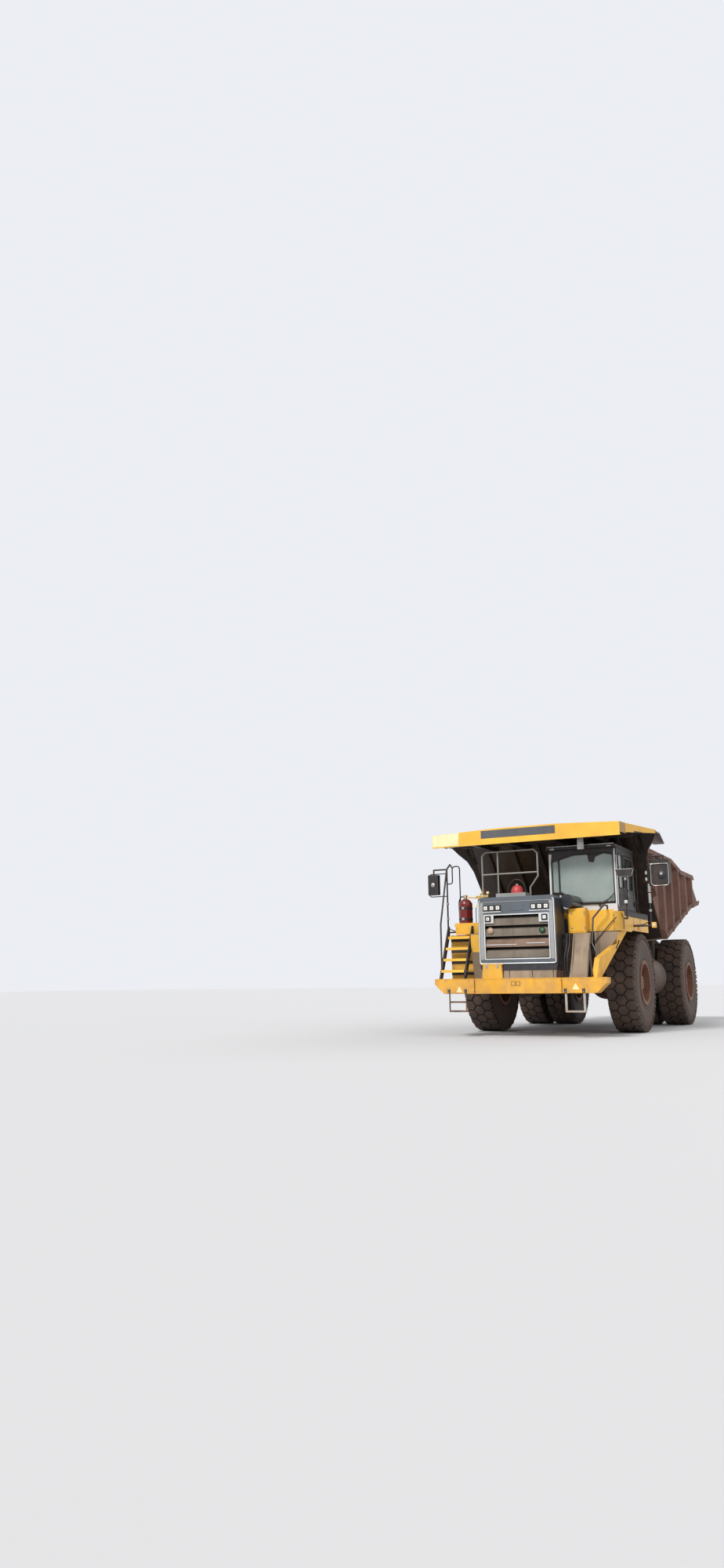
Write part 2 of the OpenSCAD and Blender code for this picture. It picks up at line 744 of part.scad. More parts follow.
// Cab: shell with its window and door openings, roof, door, glass, seat and console
door_y1 = cab_back - 90;
door_y0 = door_y1 - door_w;
door_z0 = left_z + 60;
door_z1 = cab_top - 180;
door_gap = 10;
hinge_x = cab_x1 + 20;
hinge_levels = [door_z0 + 150, door_z1 - 250];
roof_t = 70;
glass_seat = 0.4;
screen_low = left_z + 220;
screen_top = cab_top - 180;
window_low = left_z + 520;
window_top = cab_top - 190;

// Windscreen with its arched top and swept lower edge
module windscreen_cut(grow, y0, y1) {
    x0 = cab_x0 + 60 - grow;
    x1 = cab_x1 - 70 + grow;
    low = screen_low - grow;
    top = screen_top + grow;
    front_plate([[x0, low + 250], [x0 + 210, low + 230], [x0 + 480, low + 60], [x0 + 720, low], [x1, low],
        [x1, top - 40], [x1 - 180, top], [x0 + 500, top], [x0, top - 130]], y0, y1);
}

module cab_shell() {
    y0 = cab_front;
    y1 = cab_back;
    w = cab_wall;
    color(black) from_front() difference() {
        block([cab_x0, y0, left_z], [cab_x1, y1, cab_top - roof_t]);
        block([cab_x0 + w, y0 + w, left_z + w], [cab_x1 - w, y1 - w, cab_top]);
        windscreen_cut(0, y0 - 1, y0 + w + 1);
        // Rear window, right window, left front window and the door opening
        block([cab_x0 + 200, y1 - w - 1, window_low], [cab_x1 - 200, y1 + 1, window_top]);
        block([cab_x0 - 1, y0 + 200, window_low], [cab_x0 + w + 1, y1 - 200, window_top]);
        block([cab_x1 - w - 1, y0 + 130, window_low], [cab_x1 + 1, door_y0 - 90, window_top]);
        block([cab_x1 - w - 1, door_y0, door_z0], [cab_x1 + 1, door_y1, door_z1]);
    }
    // Pins that the door hangs on
    color(black) from_front() for (z = hinge_levels) {
        translate([hinge_x, door_y1, z - 30]) cylinder(d = 36, h = 29.5, $fn = 32);
        translate([hinge_x, door_y1, z - 1]) cylinder(d = 20, h = 76, $fn = 32);
        block([cab_x1 - 1, door_y1, z - 30], [hinge_x, door_y1 + 18, z - 0.5]);
    }
}

module cab_roof() {
    color(black) from_front()
        block([cab_x0 - 20, cab_front - 130, cab_top - roof_t], [cab_x1 + 20, cab_back + 20, cab_top]);
}

module cab_door() {
    g = door_gap;
    color(black) from_front() difference() {
        union() {
            block([cab_x1 - cab_wall, door_y0 + g, door_z0 + g], [cab_x1, door_y1 - g, door_z1 - g]);
            for (z = hinge_levels) {
                translate([hinge_x, door_y1, z]) cylinder(d = 36, h = 70, $fn = 32);
                block([cab_x1 - 1, door_y1 - 60, z], [hinge_x, door_y1 - 1, z + 70]);
            }
        }
        block([cab_x1 - cab_wall - 1, door_y0 + 110, window_low], [cab_x1 + 1, door_y1 - 110, window_top - 60]);
        for (z = hinge_levels)
            translate([hinge_x, door_y1, z - 1]) cylinder(d = 20 + 2 * bore_gap, h = 80, $fn = 32);
    }
}

module door_glass() {
    s = glass_seat;
    x = cab_x1 - cab_wall / 2;
    color(glassy) from_front()
        block([x, door_y0 + 110 + s, window_low + s], [x + glass_t, door_y1 - 110 - s, window_top - 60 - s]);
}

module cab_glass() {
    s = glass_seat;
    y0 = cab_front;
    y1 = cab_back;
    w = cab_wall / 2;
    color(glassy) from_front() {
        windscreen_cut(-s, y0 + w, y0 + w + glass_t);
        block([cab_x0 + 200 + s, y1 - w, window_low + s], [cab_x1 - 200 - s, y1 - w + glass_t, window_top - s]);
        block([cab_x0 + w, y0 + 200 + s, window_low + s], [cab_x0 + w + glass_t, y1 - 200 - s, window_top - s]);
        block([cab_x1 - w, y0 + 130 + s, window_low + s], [cab_x1 - w + glass_t, door_y0 - 90 - s, window_top - s]);
    }
}

module cab_seat() {
    x = (cab_x0 + cab_x1) / 2;
    z = left_z + cab_wall;
    color(charcoal) from_front() translate([x, cab_back - 520, z]) {
        block([-180, -180, 0], [180, 180, 330]);
        block([-270, -280, 330], [270, 280, 460]);
        block([-260, 220, 460], [260, 340, 1050]);
    }
}

module cab_console() {
    x = (cab_x0 + cab_x1) / 2;
    z = left_z + cab_wall;
    color(charcoal) from_front() {
        block([cab_x0 + cab_wall, cab_front + cab_wall, z], [cab_x1 - cab_wall, cab_front + 320, z + 150]);
        block([x - 300, cab_front + cab_wall, z + 150], [x + 300, cab_front + 260, z + 520]);
        translate([x, cab_front + 250, z + 480]) rotate([-55, 0, 0]) {
            cylinder(d = 60, h = 200, $fn = 32);
            translate([0, 0, 200]) rotate_extrude($fn = 48) translate([210, 0]) circle(d = 36, $fn = 24);
            translate([0, 0, 190]) block([-200, -20, 0], [200, 20, 20]);
        }
    }
}

module equipment_boxes() {
    y0 = left_y0 - 210;
    x0 = grille_half + 60;
    x1 = x0 + 400;
    color(yellow) from_front() {
        flat_plate([[x0, left_y0], [x0, y0 + 50], [x0 + 40, y0], [x1, y0], [x1, left_y0]], box_low, left_z + 70);
        // Box on the bumper, in front of the grille's foot
        front_plate([[-790, bumper_top], [-330, bumper_top], [-350, bumper_top + 285], [-760, bumper_top + 285]],
            grille_y - 60, grille_y);
    }
}

module suppressant_bottle() {
    wall_h = 430;
    color(red) from_front() translate([-1455, hood_y + 310, right_z]) {
        cylinder(d = bottle_d, h = wall_h, $fn = 64);
        translate([0, 0, wall_h]) sphere(d = bottle_d, $fn = 64);
    }
}

mirror_x = deck_half + 720;
mirror_y = -930;
mirror_h = 480;
mirror_z = left_z + 620;
post_gap = 60;
module mirrors() {
    post_x = mirror_x - 340;
    top = mirror_z + 600;
    color(black) from_front() both_sides() {
        block([mirror_x - 130, mirror_y - 60, mirror_z], [mirror_x + 130, mirror_y + 60, mirror_z + mirror_h]);
        rail([[deck_half, mirror_y, right_z - 100], [post_x, mirror_y, right_z - 100], [post_x, mirror_y, top],
            [mirror_x, mirror_y, top], [mirror_x, mirror_y, mirror_z + mirror_h - 10]], rail_bar);
    }
    // Small mirror on a post of the left deck
    color(black) from_front() translate([deck_half, left_y0 + 330, left_z]) {
        rail([[0, 0, -150], [post_gap, 0, -150], [post_gap, 0, 810]], rail_bar);
        translate([post_gap, 0, 0]) front_plate([[-190, 890], [-140, 740], [140, 740], [190, 890]], -45, -15);
    }
}

// Body: all shapes are cut by the plane of the front wall and by the valley floor
function along(a, b, t) = a + (b - a) * t;
wall_dir = (wall_foot - wall_head) / norm(wall_foot - wall_head);
wall_normal = [-wall_dir[1], wall_dir[0]];
wall_t = 40;
canopy_low = canopy_z - 30;
function wall_at(z) = wall_foot[0] - (z - wall_foot[1]) * wall_dir[0] / -wall_dir[1];
bed_outline = [
    [wall_at(bed_tall_z), bed_tall_z], wall_foot, [knee_y, knee_z], [tip_y - 190, tip_z - 20],
    [tip_y, tip_z + 140], [tip_y - 700, tip_z + 590], [tip_y - 930, bed_rail_z],
    [wheelbase, bed_rail_z], [wheelbase - 1200, bed_tall_z]];

// Everything in front of the wall's front face
module ahead_of_wall(w) {
    a = along(wall_head, wall_foot, -0.6);
    b = along(wall_head, wall_foot, 1.6);
    side_plate([a, b, b - wall_normal * 3000, a - wall_normal * 3000], -w, w);
}

// A valley-shaped plate that starts at p and rises at a slope: thickness t over a length
module valley(p, slope, length, t, half) {
    edge = floor_vee * (half / bed_in - 1);
    translate([0, p[0], p[1]]) rotate([slope, 0, 0]) rotate([-90, 0, 0]) mirror([0, 1, 0])
        linear_extrude(length)
            polygon([[-half, edge], [0, -floor_vee], [half, edge],
                [half, edge + t], [0, t - floor_vee], [-half, edge + t]]);
}

// The main floor's plane carried on in front of the wall, and the space over and under the floor
floor_run = [cos(floor_slope), sin(floor_slope)];
floor_up = [-sin(floor_slope), cos(floor_slope)];
floor_start = wall_foot - 1500 * floor_run;
module over_floor() valley(floor_start - seat_gap * floor_up, floor_slope, 8000, 2000, bed_in + 10);
module under_floor()
    valley(floor_start + (bed_floor_t + seat_gap - 2000) * floor_up, floor_slope, 4000, 2000, bed_in + 10);

module bed_floor() {
    half = bed_in - seat_gap;
    tail_slope = atan2(tip_z - 20 - knee_z, tip_y - 190 - knee_y);
    main_len = (knee_y - wall_foot[0]) / cos(floor_slope);
    tail_len = (tip_y - 190 - knee_y) / cos(tail_slope);
    back = 600;
    color(dust) from_front() {
        difference() {
            valley(wall_foot - back * floor_run, floor_slope, main_len + back, bed_floor_t, half);
            ahead_of_wall(3000);
        }
        valley([knee_y - 8, knee_z - 1], tail_slope, tail_len, bed_floor_t, half);
    }
}

foot_rail = 110;
flare_top = canopy_low - seat_gap;
flare_low = flare_top - 1080;
module bed_sides() {
    color(dust) from_front() both_sides() {
        side_plate(bed_outline, bed_in, bed_out);
        intersection() {
            side_plate(bed_outline, bed_out, bed_out + rib_d);
            union() {
                for (i = [0 : 5])
                    translate([0, 900 + i * 950, 0])
                        flat_plate([[bed_out - 1, -rib_w / 2], [bed_out + rib_d, -rib_w / 4],
                            [bed_out + rib_d, rib_w / 4], [bed_out - 1, rib_w / 2]], rail_top, bed_tall_z);
                side_plate([[-wheelbase, bed_tall_z - 110], [wheelbase - 1200, bed_tall_z - 110],
                    [wheelbase, bed_rail_z - 110], [tip_y, bed_rail_z - 110],
                    [tip_y, bed_tall_z], [-wheelbase, bed_tall_z]], bed_out, bed_out + rib_d);
                // Rail along the foot of the side
                side_plate([wall_foot, [knee_y, knee_z], [tip_y, tip_z], [tip_y, tip_z + foot_rail],
                    [knee_y, knee_z + foot_rail], wall_foot + [0, foot_rail]], bed_out, bed_out + rib_d - 20);
            }
        }
        // Flare from the side's front edge to the wing
        intersection() {
            side_plate([[wall_at(flare_top), flare_top], [wall_at(flare_low), flare_low],
                [wall_at(flare_low) + 60, flare_low], [wall_at(flare_top) + 60, flare_top]], bed_out - 1, canopy_wing);
            front_plate([[bed_out - 1, flare_low], [bed_out + 100, flare_low + 80], [bed_out + 110, flare_top - 560],
                [bed_out + 180, flare_top - 320], [bed_out + 340, flare_top - 150], [canopy_wing - 40, flare_top],
                [bed_out - 1, flare_top]], -wheelbase, wheelbase);
        }
    }
}

canopy_y = 670 - front_reach;
canopy_end = wheelbase - 2500;
wing_x = bed_in + 250;
lip_x = canopy_front + 53;
lip_y0 = canopy_y + 340;
lip_y1 = -560;
module bed_front() {
    // Floor's top face, to stand the wall on
    color(dust) from_front() difference() {
        side_plate([[wall_at(canopy_low), canopy_low], [wall_at(rail_top), rail_top],
            [wall_at(rail_top), rail_top] + wall_normal * wall_t, [wall_at(canopy_low), canopy_low] + wall_normal * wall_t],
            -bed_in, bed_in);
        under_floor();
    }
    color(yellow) from_front() {
        difference() {
            flat_plate([[-canopy_front, canopy_y], [canopy_front, canopy_y], [canopy_front + 50, canopy_y + 350],
                [canopy_wing, lip_y1], [canopy_wing, -100], [wing_x, canopy_end], [bed_in, canopy_end],
                [-bed_in, canopy_end], [-wing_x, canopy_end], [-canopy_wing, -100], [-canopy_wing, lip_y1],
                [-canopy_front - 50, canopy_y + 350]], canopy_low, canopy_z);
            block([-bed_in, wall_at(canopy_z) + 50, canopy_low - 1], [bed_in, canopy_end + 1, canopy_z + 1]);
        }
        front_plate([[-canopy_front, canopy_z - fascia_h + 20], [canopy_front, canopy_z - fascia_h + 20],
            [canopy_front, canopy_z + 20], [700, canopy_z + 80], [-700, canopy_z + 80],
            [-canopy_front, canopy_z + 20]], canopy_y, canopy_y + 30);
        both_sides() {
            flat_plate([[canopy_front - 30, canopy_y], [canopy_front, canopy_y], [canopy_front + 50, canopy_y + 350],
                [canopy_front + 20, canopy_y + 350]], canopy_z - 200, canopy_z + 20);
            // Lip along the wing's edge, lower towards its widest place
            intersection() {
                flat_plate([[lip_x, lip_y0], [canopy_wing + 5, lip_y1], [canopy_wing - 20, lip_y1],
                    [lip_x - 25, lip_y0]], canopy_z - 180, canopy_z + 20);
                side_plate([[lip_y0 - 10, canopy_z - 180], [lip_y0 - 10, canopy_z + 30],
                    [lip_y1 + 10, canopy_z + 30], [lip_y1 + 10, canopy_z - 60]], 0, canopy_wing + 50);
            }
            // Ribs under the canopy
            for (x = [500, 1300])
                side_plate([[canopy_y + 30, canopy_z - 200], [canopy_y + 30, canopy_low],
                    [wall_at(canopy_low), canopy_low], [wall_at(canopy_z - 200), canopy_z - 200]], x, x + 120);
        }
    }
}

module bed_beams() {
    low = rail_top + seat_gap;
    color(dust) from_front() both_sides() {
        difference() {
            side_plate([[wall_foot[0] - 170, low], [wheelbase + hinge_y + 120, low], [knee_y - 10, rail_top + 950],
                [knee_y - 10, knee_z + 300], [wall_foot[0] - 170, wall_foot[1] + 500]], rail_in, rail_out);
            over_floor();
            ahead_of_wall(3000);
        }
        // Hinge lug inside the rail
        difference() {
            side_plate([[wheelbase + hinge_y - 120, hinge_z], [wheelbase + hinge_y + 120, hinge_z],
                [wheelbase + hinge_y + 120, rail_top + 550], [wheelbase + hinge_y - 120, rail_top + 550]],
                rail_in - 110, rail_in - 10);
            bar_x(0, 1000, hinge_pin_d + 2 * bore_gap, wheelbase + hinge_y, hinge_z);
        }
        difference() {
            bar_x(rail_in - 110, rail_in - 10, 240, wheelbase + hinge_y, hinge_z);
            bar_x(0, 1000, hinge_pin_d + 2 * bore_gap, wheelbase + hinge_y, hinge_z);
        }
        block([rail_in - 11, wheelbase + hinge_y - 120, rail_top + 250],
            [rail_in + 1, wheelbase + hinge_y + 120, rail_top + 550]);
        // Bracket and pin for the hoist
        block([rail_out, wheelbase + hoist_y - 90, hoist_top_z - 120],
            [rail_out + 2 * hoist_plate, wheelbase + hoist_y + 90, hoist_top_z + 60]);
        bar_x(rail_out, hoist_x - hoist_eye_w / 2 - seat_gap, hoist_pin_d, wheelbase + hoist_y, hoist_top_z);
    }
}

hoist_len = hoist_top_z - hoist_low_z;
barrel_len = hoist_len - 280;
module hoist_barrels() {
    color(steel) from_rear() both_sides() translate([hoist_x, hoist_y, hoist_low_z]) difference() {
        union() {
            translate([0, 0, 70]) cylinder(d = hoist_barrel_d, h = barrel_len - 70, $fn = 64);
            bar_x(-hoist_eye_w / 2, hoist_eye_w / 2, 170, 0, 0);
        }
        translate([0, 0, 130]) cylinder(d = hoist_rod_d + 2 * bore_gap, h = barrel_len, $fn = 64);
        bar_x(-200, 200, hoist_pin_d + 2 * bore_gap, 0, 0);
    }
}

module hoist_rods() {
    color(silver) from_rear() both_sides() translate([hoist_x, hoist_y, hoist_low_z]) difference() {
        union() {
            translate([0, 0, 160]) cylinder(d = hoist_rod_d, h = hoist_len - 160 - 60, $fn = 64);
            bar_x(-hoist_eye_w / 2, hoist_eye_w / 2, 160, 0, hoist_len);
        }
        bar_x(-200, 200, hoist_pin_d + 2 * bore_gap, 0, hoist_len);
    }
}

// A tank outside the frame rail, with the bracket it hangs on
tank_x = 1420;
module tank(length) {
    z = hub_z + 135;
    y0 = wheelbase - hub_z - 315 - fuel_len;
    translate([tank_x, y0, z]) rotate([-90, 0, 0]) cylinder(d = tank_d, h = length, $fn = 96);
    block([rail_out, y0 + 200, z - 120], [tank_x - tank_d / 3, y0 + length - 200, z + 120]);
}
module tanks() {
    color(yellow) from_front() {
        tank(fuel_len);
        mirror([1, 0, 0]) tank(oil_len);
    }
}

// Bars that hang from the floor between the twin tyres
module rock_ejectors() {
    x = (inner_x + outer_x) / 2;
    y = wheelbase - hub_z + 185;
    color(steel) from_front() both_sides() difference() {
        block([x - 25, y, hub_z + 475], [x + 25, y + 110, hub_z + 1615]);
        over_floor();
    }
}

frame();
bumper();
step_hangers();
front_guard();
strut_housings();
knuckle_left();
knuckle_right();
tie_rod();
tyre_front_left();
tyre_front_right();
rim_front_left();
rim_front_right();
rear_axle();
rear_struts();
tyres_rear_left();
tyres_rear_right();
rims_rear_left();
rims_rear_right();
engine();
transmission();
driveshaft();
radiator();
grille_housing();
grille_surround();
grille_louvres();
grille_lamps();
hood();
air_cleaners();
deck_left();
deck_right();
stairs();
handrails();
cab_shell();
cab_roof();
cab_door();
door_glass();
cab_glass();
cab_seat();
cab_console();
equipment_boxes();
suppressant_bottle();
mirrors();
bed_floor();
bed_sides();
bed_front();
bed_beams();
hoist_barrels();
hoist_rods();
tanks();
rock_ejectors();
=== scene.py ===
"""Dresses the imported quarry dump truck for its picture, piece by piece. Lengths are in metres."""
import logging
import math
from dataclasses import dataclass
from enum import Enum
from typing import Dict, List, Optional, Sequence, Tuple

import bmesh
import bpy
from mathutils import Matrix, Vector
from mathutils.bvhtree import BVHTree


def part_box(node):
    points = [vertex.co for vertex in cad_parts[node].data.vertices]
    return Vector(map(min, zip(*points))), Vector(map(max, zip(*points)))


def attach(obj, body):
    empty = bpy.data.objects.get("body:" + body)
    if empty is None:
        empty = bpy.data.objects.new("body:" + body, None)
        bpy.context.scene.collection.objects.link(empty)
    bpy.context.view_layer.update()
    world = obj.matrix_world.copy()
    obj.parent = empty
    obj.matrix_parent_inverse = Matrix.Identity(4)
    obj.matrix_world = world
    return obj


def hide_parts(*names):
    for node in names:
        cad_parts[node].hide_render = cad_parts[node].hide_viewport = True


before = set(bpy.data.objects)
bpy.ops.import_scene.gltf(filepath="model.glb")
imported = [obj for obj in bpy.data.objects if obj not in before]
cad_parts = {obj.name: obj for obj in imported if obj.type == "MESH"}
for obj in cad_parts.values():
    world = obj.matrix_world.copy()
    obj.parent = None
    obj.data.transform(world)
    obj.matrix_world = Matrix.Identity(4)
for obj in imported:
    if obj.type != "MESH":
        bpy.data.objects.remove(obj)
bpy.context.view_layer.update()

log = logging.getLogger("truck")
Point = Tuple[float, float, float]
Flat = Tuple[float, float]
Colour = Tuple[float, float, float]

# Distances past every part of the truck, for ranges that are open on one side
BEYOND = 9.0
NOWHERE = -99.0

# Edges sharper than these many degrees stay sharp on a piece, and are rounded on a CAD node
SHARP = 42
ROUNDED = 32

# The pads' simulation
PAD_CELL = 0.008
PAD_PRESSURE = 4.0
PAD_FRAMES = 20


class Axis(Enum):
    """The way that a plate is drawn out or a round part turns."""

    X = 0
    Y = 1
    Z = 2


class Body(Enum):
    """The rigid bodies of the truck that pieces ride on."""

    CHASSIS = "chassis"
    BED = "bed"
    DOOR = "cab_door"
    WHEEL_FL = "wheel_front_left"
    WHEEL_FR = "wheel_front_right"
    WHEELS_RL = "wheels_rear_left"
    WHEELS_RR = "wheels_rear_right"
    BARRELS = "hoist_barrels"
    RODS = "hoist_rods"


# Finishes

class Sheet:
    """One material and short ways to add shader nodes to it."""

    def __init__(self, name: str) -> None:
        """Start a material with a plain shader.

        Args:
            name: Name of the material.
        """
        self.material = bpy.data.materials.new(name)
        self.material.use_nodes = True
        self.tree = self.material.node_tree
        self.shader = self.tree.nodes["Principled BSDF"]
        self.place = self.add("ShaderNodeTexCoord").outputs["Object"]
        self.facing = self.add("ShaderNodeTexCoord").outputs["Normal"]

    def add(self, kind: str, **settings: object) -> bpy.types.Node:
        """Add a node.

        Args:
            kind: Blender's name of the node type.
            **settings: Properties to set on the node.

        Returns:
            The new node.
        """
        node = self.tree.nodes.new(kind)
        for key, value in settings.items():
            setattr(node, key, value)
        return node

    def feed(self, socket: bpy.types.NodeSocket, value: object) -> None:
        """Link a socket to an output, or set its own value.

        Args:
            socket: The input to feed.
            value: An output socket, a number or a colour.
        """
        if isinstance(value, bpy.types.NodeSocket):
            self.tree.links.new(value, socket)
        elif isinstance(value, tuple) and len(value) == 3 and socket.type == "RGBA":
            socket.default_value = (*value, 1.0)
        else:
            socket.default_value = value

    def stretched(self, stretch: Point) -> bpy.types.NodeSocket:
        """Object coordinates stretched along the axes."""
        node = self.add("ShaderNodeMapping")
        self.feed(node.inputs["Vector"], self.place)
        node.inputs["Scale"].default_value = stretch
        return node.outputs["Vector"]

    def noise(self, scale: float, detail: float = 4.0, stretch: Point = (1, 1, 1)) -> bpy.types.NodeSocket:
        """A noise between 0 and 1.

        Args:
            scale: Waves per metre.
            detail: Octaves.
            stretch: Scale of each axis.

        Returns:
            The noise value.
        """
        node = self.add("ShaderNodeTexNoise")
        self.feed(node.inputs["Vector"], self.stretched(stretch))
        node.inputs["Scale"].default_value = scale
        node.inputs["Detail"].default_value = detail
        return node.outputs["Fac"]

    def cells(self, scale: float) -> bpy.types.NodeSocket:
        """Distance to the nearest of scattered points."""
        node = self.add("ShaderNodeTexVoronoi")
        self.feed(node.inputs["Vector"], self.place)
        node.inputs["Scale"].default_value = scale
        return node.outputs["Distance"]

    def span(self, value: bpy.types.NodeSocket, low: float, high: float,
             to_low: float = 0.0, to_high: float = 1.0) -> bpy.types.NodeSocket:
        """Map a value from one range to another, held at its ends.

        Args:
            value: The value to map.
            low: Value that gives to_low.
            high: Value that gives to_high.
            to_low: Result at low.
            to_high: Result at high.

        Returns:
            The mapped value.
        """
        node = self.add("ShaderNodeMapRange")
        self.feed(node.inputs["Value"], value)
        for key, number in (("From Min", low), ("From Max", high), ("To Min", to_low), ("To Max", to_high)):
            node.inputs[key].default_value = number
        return node.outputs["Result"]

    def inside(self, value: bpy.types.NodeSocket, low: float, high: float) -> bpy.types.NodeSocket:
        """1 where a value lies between two numbers, else 0."""
        return self.times(self.above(value, low), self.below(value, high))

    def times(self, a: object, b: object) -> bpy.types.NodeSocket:
        """The product of two numbers."""
        return self.sum("MULTIPLY", a, b)

    def above(self, a: object, b: object) -> bpy.types.NodeSocket:
        """1 where the first number is the larger, else 0."""
        return self.sum("GREATER_THAN", a, b)

    def below(self, a: object, b: object) -> bpy.types.NodeSocket:
        """1 where the first number is the smaller, else 0."""
        return self.sum("LESS_THAN", a, b)

    def at(self, axis: Axis) -> bpy.types.NodeSocket:
        """Where a point lies along an axis."""
        return self.part_of(self.place, axis)

    def face(self, axis: Axis) -> bpy.types.NodeSocket:
        """How far the surface faces along an axis."""
        return self.part_of(self.facing, axis)

    def set(self, name: str, value: object) -> None:
        """Feed one of the shader's own sockets."""
        self.feed(self.shader.inputs[name], value)

    def sum(self, kind: str, a: object, b: object) -> bpy.types.NodeSocket:
        """Combine two numbers.

        Args:
            kind: Blender's name of the operation, such as MULTIPLY.
            a: First number or output.
            b: Second number or output.

        Returns:
            The result, held between 0 and 1.
        """
        node = self.add("ShaderNodeMath", operation=kind, use_clamp=True)
        self.feed(node.inputs[0], a)
        self.feed(node.inputs[1], b)
        return node.outputs[0]

    def mix(self, share: object, a: object, b: object) -> bpy.types.NodeSocket:
        """Mix two colours.

        Args:
            share: Share of the second colour.
            a: First colour.
            b: Second colour.

        Returns:
            The mixed colour.
        """
        node = self.add("ShaderNodeMix", data_type="RGBA")
        self.feed(node.inputs[0], share)
        self.feed(node.inputs[6], a)
        self.feed(node.inputs[7], b)
        return node.outputs[2]

    def part_of(self, vector: bpy.types.NodeSocket, axis: Axis) -> bpy.types.NodeSocket:
        """One coordinate of a vector."""
        node = self.add("ShaderNodeSeparateXYZ")
        self.feed(node.inputs[0], vector)
        return node.outputs[axis.value]

    def bump(self, height: bpy.types.NodeSocket, depth: float, strength: float = 1.0) -> None:
        """Raise the surface by a height map.

        Args:
            height: Height between 0 and 1.
            depth: Height in metres.
            strength: Share of the effect.
        """
        node = self.add("ShaderNodeBump")
        node.inputs["Distance"].default_value = depth
        node.inputs["Strength"].default_value = strength
        self.feed(node.inputs["Height"], height)
        held = self.shader.inputs["Normal"]
        if held.is_linked:
            self.feed(node.inputs["Normal"], held.links[0].from_socket)
        self.feed(held, node.outputs["Normal"])


class Finish:
    """What a surface is made of; the material is made once and kept by name."""

    made: Dict[str, bpy.types.Material] = {}
    name: str

    def shade(self, sheet: Sheet) -> None:
        """Fill in the material."""
        raise NotImplementedError

    def material(self) -> bpy.types.Material:
        """The finished material."""
        if self.name not in Finish.made:
            sheet = Sheet(self.name)
            self.shade(sheet)
            Finish.made[self.name] = sheet.material
        return Finish.made[self.name]


DUST: Colour = (0.30, 0.155, 0.095)


@dataclass(frozen=True)
class Paint(Finish):
    """Machine paint with dust on its upper faces and low down, dirt streaks and chips."""

    name: str
    colour: Colour
    dust: float = 0.5
    rough: float = 0.38
    chips: float = 0.3
    metal: float = 0.0
    dust_colour: Colour = DUST
    low: float = 0.6
    high: float = 2.0

    def base(self, sheet: Sheet) -> bpy.types.NodeSocket:
        """The paint's own tone, cloudy."""
        r, g, b = self.colour
        return sheet.mix(sheet.span(sheet.noise(1.7, 5), 0.35, 0.65), self.colour, (r * 0.84, g * 0.81, b * 0.76))

    def shade(self, sheet: Sheet) -> None:
        """Layer streaks, dust and chips over the paint."""
        tone = self.base(sheet)
        streaks = sheet.span(sheet.noise(7.0, 6, (1, 1, 0.09)), 0.52, 0.78)
        tone = sheet.mix(sheet.times(streaks, self.dust * 0.55), tone, self.dust_colour)
        patches = sheet.span(sheet.noise(4.2, 9), 0.36, 0.70)
        height = sheet.span(sheet.at(Axis.Z), self.low, self.high, 1.0, 0.12)
        upward = sheet.span(sheet.face(Axis.Z), 0.15, 0.95)
        cover = sheet.sum("MAXIMUM", height, sheet.times(upward, 0.9))
        cover = sheet.times(sheet.times(patches, cover), self.dust * 1.5)
        tone = sheet.mix(cover, tone, self.dust_colour)
        chip = sheet.below(sheet.cells(26.0), 0.045 * self.chips)
        worn = sheet.times(chip, sheet.span(sheet.noise(2.4, 3), 0.5, 0.6))
        tone = sheet.mix(worn, tone, (0.10, 0.065, 0.045))
        sheet.set("Base Color", tone)
        rough = sheet.sum("ADD", sheet.span(cover, 0.0, 0.7, self.rough, 0.88), sheet.span(streaks, 0, 1, 0, 0.12))
        sheet.set("Roughness", rough)
        sheet.set("Metallic", self.metal)
        sheet.bump(sheet.noise(120.0, 3), 0.0012, 0.35)
        sheet.bump(sheet.sum("ADD", patches, worn), 0.0015, 0.3)


@dataclass(frozen=True)
class CanopyPaint(Paint):
    """Paint on the canopy's fascia, edges and top; painted shade under it, on the wall behind it and on its flanks
    below the lip, and dusty bed steel on faces turned to the bed.
    """

    # Colour of the painted shade under and inside the canopy
    under: Colour = (0.024, 0.017, 0.014)
    wide: float = 2.10
    level: float = 4.39
    behind: float = -4.17
    lip: float = 4.30
    turn: float = -3.5
    joint: float = -3.88
    widest: float = -2.49

    def base(self, sheet: Sheet) -> bpy.types.NodeSocket:
        """Paint where the canopy faces out, painted shade under and inside it."""
        x, y, z = (sheet.at(axis) for axis in (Axis.X, Axis.Y, Axis.Z))
        # Painted shade: the region under the canopy, downward and inward faces, the flanks below the lip and the outer
        # edges behind the widest point
        within = sheet.times(sheet.inside(z, 0.0, self.level), sheet.inside(y, self.behind, BEYOND))
        within = sheet.times(within, sheet.inside(x, -self.wide, self.wide))
        down = sheet.below(sheet.face(Axis.Z), -0.5)
        turned = sheet.face(Axis.X)
        left = sheet.times(sheet.above(x, 0.0), sheet.below(turned, -0.3))
        right = sheet.times(sheet.below(x, 0.0), sheet.above(turned, 0.3))
        inward = sheet.sum("ADD", left, right)
        flank = sheet.times(sheet.inside(z, 0.0, self.lip), sheet.inside(y, self.turn, BEYOND))
        outward = sheet.sum("MAXIMUM", sheet.above(turned, 0.3), sheet.below(turned, -0.3))
        edge = sheet.times(outward, sheet.inside(y, self.widest, BEYOND))
        share = sheet.sum("ADD", sheet.sum("ADD", within, sheet.sum("ADD", flank, edge)),
                          sheet.sum("ADD", down, inward))
        # Painted shade: a brown tone on the fascia's return at each end
        turn = sheet.times(outward, sheet.inside(y, self.behind - 0.03, self.joint))
        paint = sheet.mix(sheet.times(turn, 0.75), super().base(sheet), (0.20, 0.105, 0.030))
        shell = sheet.mix(share, paint, self.under)
        rear = sheet.above(sheet.face(Axis.Y), 0.3)
        clouds = sheet.span(sheet.noise(1.3, 9), 0.33, 0.68)
        return sheet.mix(sheet.times(rear, within), shell, sheet.mix(clouds, BED_STEEL.colour, BED_STEEL.pale))


